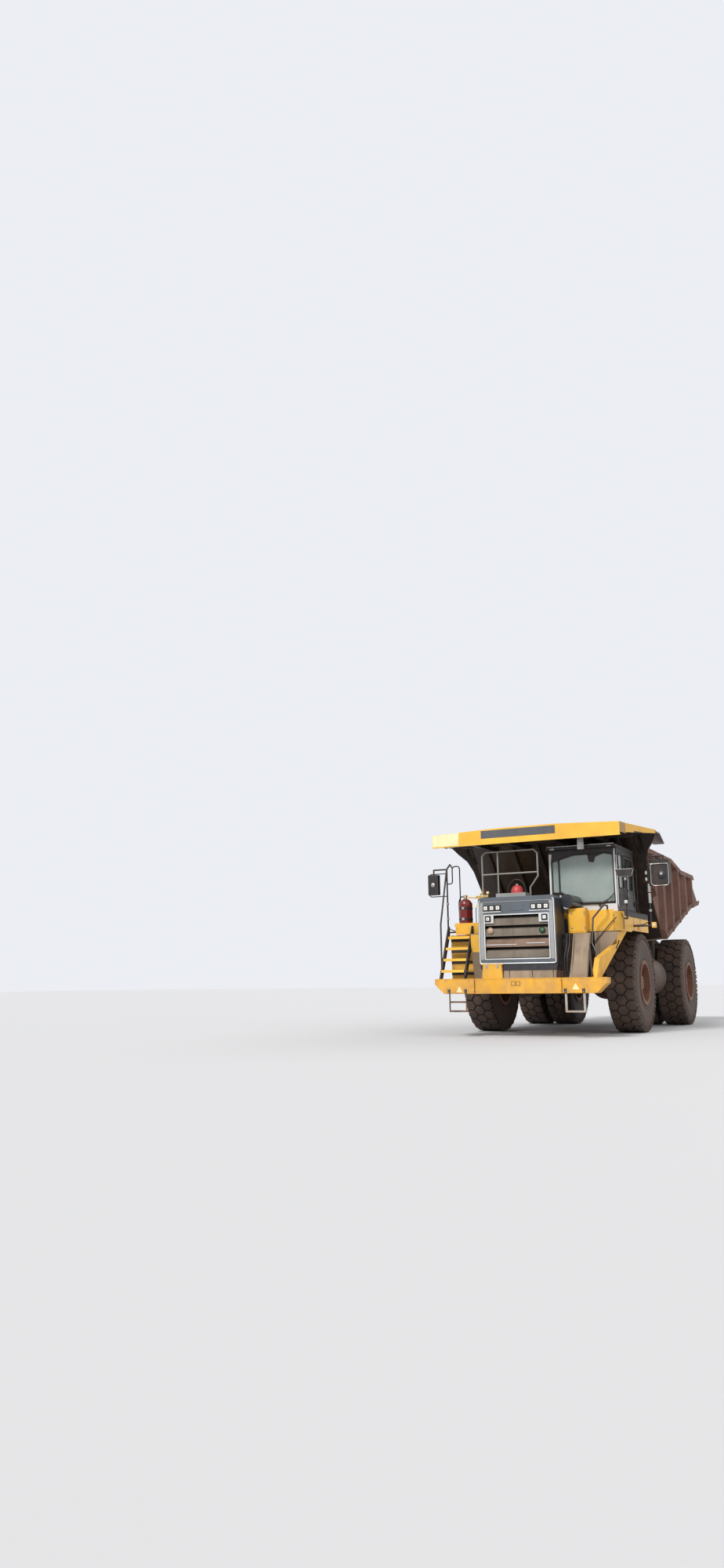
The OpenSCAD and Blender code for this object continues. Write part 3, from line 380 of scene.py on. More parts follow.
@dataclass(frozen=True)
class RailPaint(Paint):
    """Paint on the bars within a stretch across the truck, and dark on those outside it."""

    outer: Colour = (0.040, 0.034, 0.030)
    start: float = -1.12
    end: float = 1.12

    def base(self, sheet: Sheet) -> bpy.types.NodeSocket:
        """Paint in the stretch, dark outside of it."""
        near = sheet.inside(sheet.at(Axis.X), self.start, self.end)
        return sheet.mix(near, self.outer, super().base(sheet))


@dataclass(frozen=True)
class DustySteel(Finish):
    """Steel plate under dry red dust, with scrapes worn through it, and painted shade on front faces ahead of a given
    line.
    """

    name: str
    colour: Colour = (0.135, 0.062, 0.042)
    pale: Colour = (0.24, 0.125, 0.085)
    scrape: float = 0.25
    run: Point = (1.0, 0.12, 1.0)
    # Painted shade darkens front faces ahead of this place along the truck
    shade_ahead_of: float = NOWHERE

    def shade(self, sheet: Sheet) -> None:
        """Mix two dusts in clouds and runs, scrape them, then paint shade on the front faces ahead of the given line.
        """
        clouds = sheet.span(sheet.noise(1.3, 9), 0.33, 0.68)
        tone = sheet.mix(clouds, self.colour, self.pale)
        drips = sheet.span(sheet.noise(9.0, 7, (1, 1, 0.07)), 0.5, 0.75)
        tone = sheet.mix(sheet.times(drips, 0.45), tone, (0.075, 0.040, 0.030))
        scrapes = sheet.span(sheet.noise(30.0, 5, self.run), 0.63, 0.72)
        bare = sheet.times(scrapes, self.scrape)
        tone = sheet.mix(bare, tone, (0.30, 0.27, 0.25))
        # Painted shade: faces turned to the front, ahead of the given line, go nearly black
        ahead = sheet.times(sheet.inside(sheet.at(Axis.Y), NOWHERE, self.shade_ahead_of),
                            sheet.below(sheet.face(Axis.Y), -0.25))
        tone = sheet.mix(ahead, tone, (0.026, 0.018, 0.015))
        sheet.set("Base Color", tone)
        sheet.set("Metallic", sheet.times(bare, 0.7))
        sheet.set("Roughness", sheet.span(bare, 0.0, 0.3, 0.86, 0.5))
        sheet.bump(sheet.noise(70.0, 5), 0.002, 0.5)
        sheet.bump(clouds, 0.004, 0.35)


@dataclass(frozen=True)
class Rubber(Finish):
    """Dark tyre rubber under dust in clouds, with fine cuts."""

    name: str
    colour: Colour = (0.020, 0.017, 0.016)
    dust: float = 0.65

    def shade(self, sheet: Sheet) -> None:
        """Dust the rubber in clouds, with fine cuts."""
        clouds = sheet.span(sheet.noise(3.1, 9), 0.30, 0.66)
        fine = sheet.span(sheet.noise(45.0, 6), 0.35, 0.7)
        cover = sheet.times(sheet.sum("ADD", clouds, sheet.times(fine, 0.35)), self.dust)
        tone = sheet.mix(cover, self.colour, (0.15, 0.090, 0.062))
        sheet.set("Base Color", tone)
        sheet.set("Roughness", sheet.span(cover, 0.0, 0.6, 0.62, 0.92))
        sheet.bump(fine, 0.0025, 0.5)
        sheet.bump(sheet.noise(160.0, 2), 0.0008, 0.5)


@dataclass(frozen=True)
class BareMetal(Finish):
    """Machined, cast or chromed metal with grease and dust in patches."""

    name: str
    colour: Colour = (0.30, 0.27, 0.25)
    rough: float = 0.35
    grime: float = 0.4

    def shade(self, sheet: Sheet) -> None:
        """Soil the metal in patches."""
        patches = sheet.span(sheet.noise(6.0, 8), 0.42, 0.72)
        soil = sheet.times(patches, self.grime)
        sheet.set("Base Color", sheet.mix(soil, self.colour, (0.12, 0.075, 0.05)))
        sheet.set("Metallic", sheet.span(soil, 0.0, 0.6, 0.95, 0.15))
        sheet.set("Roughness", sheet.span(soil, 0.0, 0.6, self.rough, 0.85))
        sheet.bump(sheet.noise(90.0, 4), 0.001, 0.4)


@dataclass(frozen=True)
class Glass(Finish):
    """Window or lamp glass with a film of dust."""

    name: str
    tint: Colour = (0.52, 0.62, 0.58)
    clear: float = 0.6
    film: float = 0.35

    def shade(self, sheet: Sheet) -> None:
        """Tint the glass and film it in clouds."""
        cloud = sheet.times(sheet.span(sheet.noise(2.2, 7), 0.35, 0.75), self.film)
        sheet.set("Base Color", sheet.mix(cloud, self.tint, (0.55, 0.50, 0.44)))
        sheet.set("Transmission Weight", sheet.span(cloud, 0.0, 0.6, self.clear, self.clear * 0.6))
        sheet.set("Roughness", sheet.span(cloud, 0.0, 0.5, 0.04, 0.3))
        sheet.set("IOR", 1.5)
        sheet.bump(sheet.noise(3.0, 2), 0.002, 0.1)


@dataclass(frozen=True)
class Cloth(Finish):
    """Woven seat cloth."""

    name: str
    colour: Colour = (0.035, 0.037, 0.042)

    def shade(self, sheet: Sheet) -> None:
        """Weave two threads over each other."""
        threads = [sheet.add("ShaderNodeTexWave", bands_direction=way) for way in ("X", "Y")]
        for thread in threads:
            sheet.feed(thread.inputs["Vector"], sheet.place)
            thread.inputs["Scale"].default_value = 110.0
        weave = sheet.times(threads[0].outputs["Fac"], threads[1].outputs["Fac"])
        r, g, b = self.colour
        sheet.set("Base Color", sheet.mix(weave, self.colour, (r * 2.4, g * 2.4, b * 2.4)))
        sheet.set("Roughness", 0.9)
        sheet.set("Sheen Weight", 0.3)
        sheet.bump(weave, 0.0012, 0.6)


YELLOW = Paint("yellow_paint", (0.80, 0.43, 0.035), dust=0.42)
YELLOW_LOW = Paint("yellow_low", (0.78, 0.40, 0.032), dust=0.55, low=0.4, high=1.6, chips=0.7)
# The canopy's paint, with painted shade under and beside it
CANOPY = CanopyPaint("canopy_paint_and_shade", (0.84, 0.47, 0.045), dust=0.2, low=0.0, high=1.0)
YELLOW_CLEAN = Paint("yellow_clean", (0.90, 0.52, 0.06), dust=0.16, low=0.0, high=1.0)
CREAM = Paint("cream_paint", (0.88, 0.74, 0.42), dust=0.2, low=0.0, high=1.0)
CHARCOAL = Paint("charcoal_paint", (0.020, 0.025, 0.032), dust=0.13, rough=0.27)
BAND = Paint("band_paint", (0.075, 0.080, 0.088), dust=0.25, rough=0.5, low=0.0, high=1.0)
BLACK = Paint("black_paint", (0.010, 0.009, 0.009), dust=0.22, rough=0.5, low=0.3, high=1.5)
SILVER = Paint("silver_paint", (0.72, 0.74, 0.75), dust=0.16, rough=0.25, metal=0.3, low=0.4, high=1.6)
SLATE = Paint("slate_paint", (0.105, 0.125, 0.145), dust=0.16, rough=0.3, metal=0.2, low=0.4, high=1.6)
ASH = Paint("ash_paint", (0.36, 0.37, 0.37), dust=0.2, rough=0.35, metal=0.3, low=0.4, high=1.6)
LAMP = Paint("lamp_white", (0.86, 0.87, 0.85), dust=0.1, rough=0.12, chips=0.0, low=0.0, high=0.5)
RAIL = RailPaint("rail_paint", (0.24, 0.24, 0.23), dust=0.3, rough=0.4, low=0.0, high=1.6)
HANGER = RailPaint("hanger_paint", (0.40, 0.38, 0.35), dust=0.4, rough=0.45, outer=(0.060, 0.036, 0.026),
                   start=0.0, end=BEYOND)
GREY = Paint("grey_paint", (0.30, 0.30, 0.29), dust=0.3, rough=0.4, low=0.0, high=1.6)
WHITE = Paint("white_paint", (0.68, 0.70, 0.71), dust=0.12, rough=0.3, low=0.0, high=1.0)
BEIGE = Paint("beige_paint", (0.52, 0.36, 0.25), dust=0.3, rough=0.4, low=0.0, high=1.0)
RIM = Paint("rim_paint", (0.17, 0.072, 0.045), dust=0.6, rough=0.6, low=0.0, high=2.6)
RED = Paint("red_paint", (0.15, 0.010, 0.008), dust=0.22, rough=0.22)
ROSE = Paint("dome_paint", (0.48, 0.040, 0.045), dust=0.2, rough=0.45)
CHASSIS = Paint("chassis_paint", (0.105, 0.062, 0.042), dust=0.75, rough=0.7, low=0.2, high=3.0)
# The tanks' near-black colour is painted shade, where they sit between the wheels
TANK_SHADE = Paint("tank_shade_paint", (0.050, 0.030, 0.022), dust=0.5, rough=0.6, low=0.2, high=2.0)
# The body's steel, with painted shade on its front faces under the canopy
BED_STEEL = DustySteel("bed_steel_and_shade", (0.115, 0.052, 0.036), (0.205, 0.105, 0.072), shade_ahead_of=-1.3)
FLOOR_STEEL = DustySteel("floor_steel", (0.17, 0.10, 0.075), (0.29, 0.19, 0.14), 0.8, (0.6, 0.05, 0.6))
TAUPE = DustySteel("taupe_steel", (0.125, 0.100, 0.075), (0.20, 0.165, 0.125), 0.1)
RUST = DustySteel("rust_steel", (0.15, 0.085, 0.055), (0.27, 0.185, 0.135), 0.3)
TAN = DustySteel("tan_steel", (0.20, 0.145, 0.095), (0.34, 0.255, 0.175), 0.1)
# Dark dusty steel; it also serves as painted shade on the stairs, under the canopy and in the gap beside the grille
DARK = DustySteel("dark_steel_and_shade", (0.030, 0.024, 0.021), (0.070, 0.048, 0.037), 0.15)
CAST = BareMetal("cast_iron", (0.16, 0.14, 0.125), 0.55, 0.75)
BRASS = BareMetal("brass", (0.62, 0.42, 0.12), 0.3, 0.3)
CHROME = BareMetal("chrome", (0.62, 0.62, 0.63), 0.12, 0.25)
STEEL = BareMetal("plain_steel", (0.42, 0.41, 0.39), 0.4, 0.45)
TREAD = Rubber("tread_rubber", dust=0.55)
WALL = Rubber("wall_rubber", (0.026, 0.019, 0.018), 0.62)
SEAL = Rubber("seal_rubber", (0.010, 0.010, 0.010), 0.12)
WINDOW = Glass("window_glass")
SIDE_WINDOW = Glass("side_glass", (0.10, 0.12, 0.12), 0.7, 0.25)
LENS = Glass("lamp_glass", (0.92, 0.93, 0.90), 0.35, 0.2)
GREEN_LENS = Glass("green_glass", (0.04, 0.16, 0.09), 0.2, 0.25)
AMBER_LENS = Glass("amber_glass", (0.75, 0.28, 0.02), 0.3, 0.2)
RED_LENS = Glass("red_glass", (0.45, 0.02, 0.015), 0.3, 0.2)
MIRROR = BareMetal("mirror_glass", (0.52, 0.55, 0.56), 0.05, 0.12)
SEAT = Cloth("seat_cloth")
PLASTIC = Paint("console_plastic", (0.030, 0.031, 0.034), dust=0.12, rough=0.55, chips=0.0, low=0.0, high=1.0)


# Mesh making

class Workpiece:
    """A mesh in the making: shapes are added one by one, each in one of its finishes."""

    def __init__(self, name: str, *finishes: Finish) -> None:
        """Start an empty mesh.

        Args:
            name: Name of the piece.
            *finishes: Its finishes; shapes name them by their number.
        """
        self.name = name
        self.finishes = finishes
        self.mesh = bmesh.new()

    def add(self, points: Sequence[Point], faces: Sequence[Sequence[int]], finish: int = 0) -> None:
        """Add points and the faces between them.

        Args:
            points: Corner points.
            faces: Lists of point numbers.
            finish: Number of the finish.
        """
        made = [self.mesh.verts.new(p) for p in points]
        for face in faces:
            new = self.mesh.faces.new([made[i] for i in face])
            new.material_index = finish
            new.smooth = True

    def bevelled(self, part: bmesh.types.BMesh, edge: float, finish: int) -> None:
        """Round the sharp edges of a shape and add it.

        Args:
            part: The shape, which is used up.
            edge: Width of the rounding, or 0 for none.
            finish: Number of the finish.
        """
        if edge > 0:
            sharp = [e for e in part.edges if len(e.link_faces) == 2 and e.calc_face_angle(0.0) > 0.45]
            bmesh.ops.bevel(part, geom=sharp, offset=edge, segments=2, profile=0.6, affect="EDGES",
                            clamp_overlap=True)
        part.verts.index_update()
        self.add([tuple(v.co) for v in part.verts], [[v.index for v in f.verts] for f in part.faces], finish)
        part.free()

    def block(self, low: Point, high: Point, finish: int = 0, edge: float = 0.006) -> None:
        """Add a box with rounded edges.

        Args:
            low: Lowest corner.
            high: Highest corner.
            finish: Number of the finish.
            edge: Width of the rounding.
        """
        outline = oblong(low[0], low[1], high[0], high[1])
        self.plate(outline, Axis.Z, low[2], high[2], finish, edge)

    def plate(self, outline: Sequence[Flat], axis: Axis, start: float, end: float,
              finish: int = 0, edge: float = 0.004) -> None:
        """Add an outline drawn out into a plate.

        Args:
            outline: Points in the two other axes, in their order.
            axis: The way it is drawn out.
            start: Where it starts.
            end: Where it ends.
            finish: Number of the finish.
            edge: Width of the rounding.
        """
        part = bmesh.new()
        rings = [[part.verts.new(lift(p, axis, at)) for p in outline] for at in (start, end)]
        part.faces.new(rings[0])
        part.faces.new(rings[1][::-1])
        count = len(outline)
        for i in range(count):
            j = (i + 1) % count
            part.faces.new((rings[0][i], rings[1][i], rings[1][j], rings[0][j]))
        bmesh.ops.recalc_face_normals(part, faces=part.faces)
        self.bevelled(part, edge, finish)

    def frame_plate(self, outer: Sequence[Flat], inner: Sequence[Flat], axis: Axis, start: float, end: float,
                    finish: int = 0, edge: float = 0.004) -> None:
        """Add a plate with an opening; both outlines have the same number of points.

        Args:
            outer: Outer outline.
            inner: Outline of the opening.
            axis: The way it is drawn out.
            start: Where it starts.
            end: Where it ends.
            finish: Number of the finish.
            edge: Width of the rounding.
        """
        part = bmesh.new()
        rows = [[part.verts.new(lift(p, axis, at)) for p in ring]
                for ring, at in ((outer, start), (outer, end), (inner, end), (inner, start))]
        count = len(outer)
        for k in range(4):
            a, b = rows[k], rows[(k + 1) % 4]
            for i in range(count):
                j = (i + 1) % count
                part.faces.new((a[i], a[j], b[j], b[i]))
        bmesh.ops.recalc_face_normals(part, faces=part.faces)
        self.bevelled(part, edge, finish)

    def lathe(self, profile: Sequence[Flat], centre: Point, axis: Axis = Axis.X, finish: int = 0,
              sides: int = 48, flip: float = 1.0) -> None:
        """Add a turned shape; a profile that doesn't end where it starts gets flat ends.

        Args:
            profile: Points as (radius, place along the axis).
            centre: Where the profile's zero lies.
            axis: The axis of turning.
            finish: Number of the finish.
            sides: Number of sides.
            flip: -1 to turn the profile's direction round.
        """
        points, faces = [], []
        for radius, along in profile:
            for i in range(sides):
                angle = 2 * math.pi * i / sides
                place = lift((radius * math.cos(angle), radius * math.sin(angle)), axis, flip * along)
                points.append(tuple(c + p for c, p in zip(centre, place)))
        for k in range(len(profile) - 1):
            for i in range(sides):
                j = (i + 1) % sides
                faces.append((k * sides + i, k * sides + j, (k + 1) * sides + j, (k + 1) * sides + i))
        if math.dist(profile[0], profile[-1]) > 1e-5:
            for k in (0, len(profile) - 1):
                if profile[k][0] > 1e-4:
                    faces.append([k * sides + i for i in range(sides)])
        part = bmesh.new()
        verts = [part.verts.new(p) for p in points]
        for face in faces:
            part.faces.new([verts[i] for i in face])
        bmesh.ops.remove_doubles(part, verts=part.verts, dist=1e-5)
        bmesh.ops.recalc_face_normals(part, faces=part.faces)
        self.bevelled(part, 0.0, finish)

    def ball(self, centre: Point, radius: float, finish: int = 0, squash: Point = (1, 1, 1)) -> None:
        """Add a ball, squashed along the axes."""
        part = bmesh.new()
        bmesh.ops.create_uvsphere(part, u_segments=24, v_segments=14, radius=radius)
        bmesh.ops.scale(part, verts=part.verts, vec=squash)
        bmesh.ops.translate(part, verts=part.verts, vec=centre)
        self.bevelled(part, 0.0, finish)

    def tube(self, points: Sequence[Point], radius: float, finish: int = 0, bend: float = 0.08,
             sides: int = 12) -> None:
        """Add a bent tube.

        Args:
            points: The corners of its route.
            radius: Radius of the tube.
            finish: Number of the finish.
            bend: Length taken from each leg for a bend.
            sides: Number of sides.
        """
        route = rounded(points, bend)
        part = bmesh.new()
        rings: List[List[bmesh.types.BMVert]] = []
        ahead = (route[1] - route[0]).normalized()
        side = ahead.orthogonal().normalized()
        for i, at in enumerate(route):
            before = (at - route[i - 1]).normalized() if i else ahead
            after = (route[i + 1] - at).normalized() if i + 1 < len(route) else before
            along = (before + after).normalized()
            side = (side - along * side.dot(along)).normalized()
            up = along.cross(side)
            rings.append([part.verts.new(at + radius * (side * math.cos(t) + up * math.sin(t)))
                          for t in (2 * math.pi * k / sides for k in range(sides))])
        for a, b in zip(rings, rings[1:]):
            for k in range(sides):
                part.faces.new((a[k], a[(k + 1) % sides], b[(k + 1) % sides], b[k]))
        part.faces.new(rings[0][::-1])
        part.faces.new(rings[-1])
        bmesh.ops.recalc_face_normals(part, faces=part.faces)
        self.bevelled(part, 0.0, finish)

    def bolt(self, at: Point, axis: Axis, size: float = 0.012, out: float = 1.0, finish: int = 0) -> None:
        """Add a hexagon bolt head.

        Args:
            at: Middle of its foot.
            axis: The way it points.
            size: Half of its width.
            out: 1 or -1 for the way along the axis.
            finish: Number of the finish.
        """
        tall = size * 0.75
        profile = [(size, 0.0), (size, tall * 0.8), (size * 0.85, tall)]
        self.lathe(profile, at, axis, finish, 6, out)

    def done(self, body: Body, replaces: Sequence[str] = ()) -> bpy.types.Object:
        """Turn the mesh into a piece that rides on a body.

        Args:
            body: The body it rides on.
            replaces: CAD nodes that it stands for.

        Returns:
            The piece.
        """
        data = bpy.data.meshes.new(self.name)
        self.mesh.to_mesh(data)
        self.mesh.free()
        for finish in self.finishes:
            data.materials.append(finish.material())
        data.set_sharp_from_angle(angle=math.radians(SHARP))
        piece = bpy.data.objects.new(self.name, data)
        bpy.context.scene.collection.objects.link(piece)
        shading = piece.modifiers.new("even_shading", "WEIGHTED_NORMAL")
        shading.keep_sharp = True
        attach(piece, body.value)
        if replaces:
            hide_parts(*replaces)
        log.info("%s: %d faces on %s", self.name, len(data.polygons), body.value)
        return piece


def lift(flat: Flat, axis: Axis, at: float) -> Point:
    """Put a flat point into space, at a place along the axis."""
    if axis is Axis.X:
        return (at, flat[0], flat[1])
    if axis is Axis.Y:
        return (flat[0], at, flat[1])
    return (flat[0], flat[1], at)


def rounded(points: Sequence[Point], bend: float) -> List[Vector]:
    """Round the corners of a route.

    Args:
        points: The corners.
        bend: Length taken from each leg.

    Returns:
        Points along the rounded route.
    """
    corners = [Vector(p) for p in points]
    route = [corners[0]]
    for before, at, after in zip(corners, corners[1:], corners[2:]):
        reach = min(bend, (before - at).length * 0.45, (after - at).length * 0.45)
        start = at + (before - at).normalized() * reach
        end = at + (after - at).normalized() * reach
        for k in range(7):
            t = k / 6
            route.append(start * (1 - t) ** 2 + at * 2 * t * (1 - t) + end * t * t)
    route.append(corners[-1])
    return route


def rounded_outline(outline: Sequence[Flat], bend: float, steps: int = 5) -> List[Flat]:
    """Round the corners of a closed flat outline.

    Args:
        outline: The corners.
        bend: Length taken from each side at a corner.
        steps: Points on each rounded corner.

    Returns:
        The rounded outline.
    """
    made: List[Flat] = []
    count = len(outline)
    for i in range(count):
        before, at, after = (Vector(outline[(i + k) % count]) for k in (-1, 0, 1))
        start = at + (before - at).normalized() * bend
        end = at + (after - at).normalized() * bend
        for k in range(steps + 1):
            t = k / steps
            made.append(tuple(start * (1 - t) ** 2 + at * 2 * t * (1 - t) + end * t * t))
    return made


def oblong(x0: float, z0: float, x1: float, z1: float) -> List[Flat]:
    """The corners of a flat rectangle, from the lowest onward."""
    return [(x0, z0), (x1, z0), (x1, z1), (x0, z1)]


def square(x: float, z: float, half: float, tall: Optional[float] = None) -> List[Flat]:
    """A flat rectangle with small round corners, about its middle.

    Args:
        x: Its middle across.
        z: Its middle upward.
        half: Half of its width.
        tall: Half of its height, where that differs.

    Returns:
        The outline.
    """
    up = half if tall is None else tall
    return rounded_outline(oblong(x - half, z - up, x + half, z + up), min(half, up) * 0.2)


def stuffed(form: bmesh.types.BMesh, reach: float) -> bmesh.types.BMesh:
    """Blow a closed form up like a filled pad.

    Args:
        form: The form, which is used up.
        reach: The furthest that a point may move.

    Returns:
        The filled pad.
    """
    data = bpy.data.meshes.new("pad_form")
    form.to_mesh(data)
    form.free()
    item = bpy.data.objects.new("pad_form", data)
    bpy.context.scene.collection.objects.link(item)
    remesh = item.modifiers.new("even_cells", "REMESH")
    remesh.mode = "VOXEL"
    remesh.voxel_size = PAD_CELL
    item.data = bpy.data.meshes.new_from_object(item.evaluated_get(bpy.context.evaluated_depsgraph_get()))
    item.modifiers.clear()
    rest = [v.co.copy() for v in item.data.vertices]
    cloth = item.modifiers.new("filling", "CLOTH")
    cloth.settings.use_pressure = True
    cloth.settings.uniform_pressure_force = PAD_PRESSURE
    cloth.settings.effector_weights.gravity = 0.0
    for moment in range(1, PAD_FRAMES + 1):
        bpy.context.scene.frame_set(moment)
    data = bpy.data.meshes.new_from_object(item.evaluated_get(bpy.context.evaluated_depsgraph_get()))
    for vert, start in zip(data.vertices, rest):
        moved = vert.co - start
        vert.co = start + moved * min(1.0, reach / max(moved.length, 1e-6))
    bpy.data.objects.remove(item)
    bpy.context.scene.frame_set(1)
    pad = bmesh.new()
    pad.from_mesh(data)
    bmesh.ops.subdivide_edges(pad, edges=pad.edges, cuts=1, use_grid_fill=True, smooth=1.0)
    return pad


def ring(count: int, radius: float, turn: float = 0.0) -> List[Flat]:
    """Points evenly spaced on a circle."""
    return [(radius * math.cos(2 * math.pi * (i + turn) / count), radius * math.sin(2 * math.pi * (i + turn) / count))
            for i in range(count)]


# The truck's sub-assemblies

class Part:
    """A sub-assembly that can build itself."""

    def build(self) -> None:
        """Make the sub-assembly's pieces."""
        raise NotImplementedError


@dataclass
class DressedNode:
    """A CAD node that stays, with a finish and rounded edges."""

    node: str
    finish: Finish
    edge: float = 0.006

    def build(self) -> None:
        """Give the node its finish and modifiers."""
        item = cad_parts[self.node]
        item.data.materials.clear()
        item.data.materials.append(self.finish.material())
        if self.edge > 0:
            weld = item.modifiers.new("weld", "WELD")
            weld.merge_threshold = 0.00005
            bevel = item.modifiers.new("rounded_edges", "BEVEL")
            bevel.width = self.edge
            bevel.segments = 2
            bevel.limit_method = "ANGLE"
            bevel.angle_limit = math.radians(ROUNDED)
            shading = item.modifiers.new("even_shading", "WEIGHTED_NORMAL")
            shading.weight = 60
        log.info("%s dressed in %s", self.node, self.finish.name)


@dataclass
class TyreSet(Part):
    """Tyres of one wheel body: carcass with a smooth wall, and hexagon lugs in three rows."""

    node: str
    body: Body
    offsets: Tuple[float, ...]
    width: float = 0.65
    rim: float = 0.4449
    around: int = 27
    lug: float = 0.048
    groove: float = 0.042
    row: float = 0.204
    margin: float = 0.022

    def build(self) -> None:
        """Build every tyre of the set as one piece."""
        low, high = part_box(self.node)
        self.radius = (high.z - low.z) / 2
        piece = Workpiece(self.node + "_dressed", TREAD, WALL)
        for x in self.offsets:
            self.tyre(piece, Vector((x, (low.y + high.y) / 2, (low.z + high.z) / 2)))
        piece.done(self.body, [self.node])

    def wall(self) -> List[Flat]:
        """Half of the section as (radius, offset), from the bead to the middle of the tread."""
        r, w = self.radius, self.width / 2
        return [(self.rim, w * 0.72), (self.rim, w - 0.024), (self.rim + 0.045, w - 0.020),
                (self.rim + 0.052, w - 0.030), (self.rim + 0.10, w - 0.022), (self.rim + 0.105, w - 0.014),
                (self.rim + 0.125, w - 0.014), (self.rim + 0.13, w - 0.020), (0.66 * r, w - 0.006),
                (0.74 * r, w - 0.001), (0.80 * r, w - 0.004), (0.805 * r, w - 0.010), (0.86 * r, w - 0.018),
                (0.91 * r, w - 0.036), (0.94 * r, w - 0.055), (r - self.lug, w - 0.085), (r - self.lug + 0.002, 0.0)]

    def tyre(self, piece: Workpiece, hub: Vector) -> None:
        """Add one tyre.

        Args:
            piece: The mesh to add to.
            hub: The tyre's middle.
        """
        half = self.wall()
        profile = half + [(r, -w) for r, w in half[-2::-1]] + [half[0]]
        piece.lathe(profile, tuple(hub), Axis.X, 1, 96)
        pitch = 2 * math.pi / self.around
        reach = pitch * self.radius / 2 - self.groove / 2
        point = reach * 2 / math.sqrt(3)
        edge = self.width / 2 - self.margin
        for i in range(self.around):
            self.block(piece, hub, i * pitch, self.hexagon(0.0, reach, point))
            for side in (1, -1):
                middle = (i + 0.5) * pitch
                self.block(piece, hub, middle, self.hexagon(side * self.row, reach, point, edge))
                self.shoulder(piece, hub, middle, side, reach * 0.62)
                self.shoulder(piece, hub, i * pitch, side, reach * 0.30)

    def hexagon(self, across: float, reach: float, point: float, edge: float = BEYOND) -> List[Flat]:
        """A hexagon as (along, across), cut off at the tyre's edge.

        Args:
            across: Offset of its middle.
            reach: Half of its width along the tread.
            point: Half of its width across the tread.
            edge: The largest offset allowed.

        Returns:
            The corners.
        """
        corners = [(reach, point / 2), (0.0, point), (-reach, point / 2),
                   (-reach, -point / 2), (0.0, -point), (reach, -point / 2)]
        placed = [(a, across + c) for a, c in corners]
        if max(abs(c) for _, c in placed) <= edge:
            return placed
        cut: List[Flat] = []
        for (a0, c0), (a1, c1) in zip(placed, placed[1:] + placed[:1]):
            out0, out1 = abs(c0) > edge, abs(c1) > edge
            if not out0:
                cut.append((a0, c0))
            if out0 != out1:
                t = (math.copysign(edge, across) - c0) / (c1 - c0)
                cut.append((a0 + (a1 - a0) * t, c0 + (c1 - c0) * t))
        return cut

    def on_tread(self, hub: Vector, angle: float, along: float, across: float, height: float) -> Point:
        """A point over the crowned tread.

        Args:
            hub: The tyre's middle.
            angle: Angle of the lug's middle.
            along: Distance from it along the tread.
            across: Offset from the tyre's middle.
            height: Height over the grooves.

        Returns:
            The point.
        """
        crown = self.radius - self.lug - 0.30 * max(0.0, abs(across) - 0.16) ** 2
        turn = angle + along / self.radius
        r = crown + height
        return (hub.x + across, hub.y + r * math.cos(turn), hub.z + r * math.sin(turn))

    def block(self, piece: Workpiece, hub: Vector, angle: float, outline: List[Flat]) -> None:
        """Add one lug with sloped sides and a rounded top edge.

        Args:
            piece: The mesh to add to.
            hub: The tyre's middle.
            angle: Angle of the lug's middle.
            outline: Its outline as (along, across).
        """
        middle = (sum(a for a, _ in outline) / len(outline), sum(c for _, c in outline) / len(outline))
        rings = [(1.07, -0.004), (1.0, self.lug * 0.72), (0.965, self.lug * 0.93), (0.90, self.lug)]
        points: List[Point] = []
        for size, height in rings:
            for a, c in outline:
                points.append(self.on_tread(hub, angle, middle[0] + (a - middle[0]) * size,
                                            middle[1] + (c - middle[1]) * size, height))
        points.append(self.on_tread(hub, angle, *middle, self.lug))
        count = len(outline)
        faces = []
        for k in range(len(rings) - 1):
            for i in range(count):
                j = (i + 1) % count
                faces.append((k * count + i, k * count + j, (k + 1) * count + j, (k + 1) * count + i))
        top = (len(rings) - 1) * count
        faces += [(top + i, top + (i + 1) % count, len(points) - 1) for i in range(count)]
        piece.add(points, faces, 0)

    def shoulder(self, piece: Workpiece, hub: Vector, angle: float, side: int, reach: float) -> None:
        """Add a bar that runs from the tread's edge down the wall.

        Args:
            piece: The mesh to add to.
            hub: The tyre's middle.
            angle: Angle of its middle.
            side: 1 or -1 for the wall.
            reach: Half of its width along the tread.
        """
        r, w = self.radius, self.width / 2
        spine = [(r - 0.010, w - 0.040), (r - 0.030, w - 0.022), (0.945 * r, w - 0.008),
                 (0.91 * r, w - 0.003), (0.875 * r, w - 0.014)]
        foot = [(r - self.lug - 0.01, w - 0.095), (r - self.lug - 0.02, w - 0.085), (0.93 * r, w - 0.060),
                (0.90 * r, w - 0.040), (0.87 * r, w - 0.024)]
        points: List[Point] = []
        for section in (foot, spine):
            for k, (radius, across) in enumerate(section):
                half = reach * (1.0 - 0.10 * k) * (1.12 if section is foot else 1.0)
                for way in (-1, 1):
                    turn = angle + way * half / self.radius
                    points.append((hub.x + side * across, hub.y + radius * math.cos(turn),
                                   hub.z + radius * math.sin(turn)))
        n = len(spine)
        faces = []
        for k in range(n - 1):
            a, b = 2 * k, 2 * k + 2
            t, u = 2 * n + a, 2 * n + b
            faces += [(t, t + 1, u + 1, u), (a, t, u, b), (a + 1, b + 1, u + 1, t + 1)]
        faces += [(0, 1, 2 * n + 1, 2 * n), (2 * n - 2, 4 * n - 2, 4 * n - 1, 2 * n - 1)]
        piece.add(points, faces, 0)


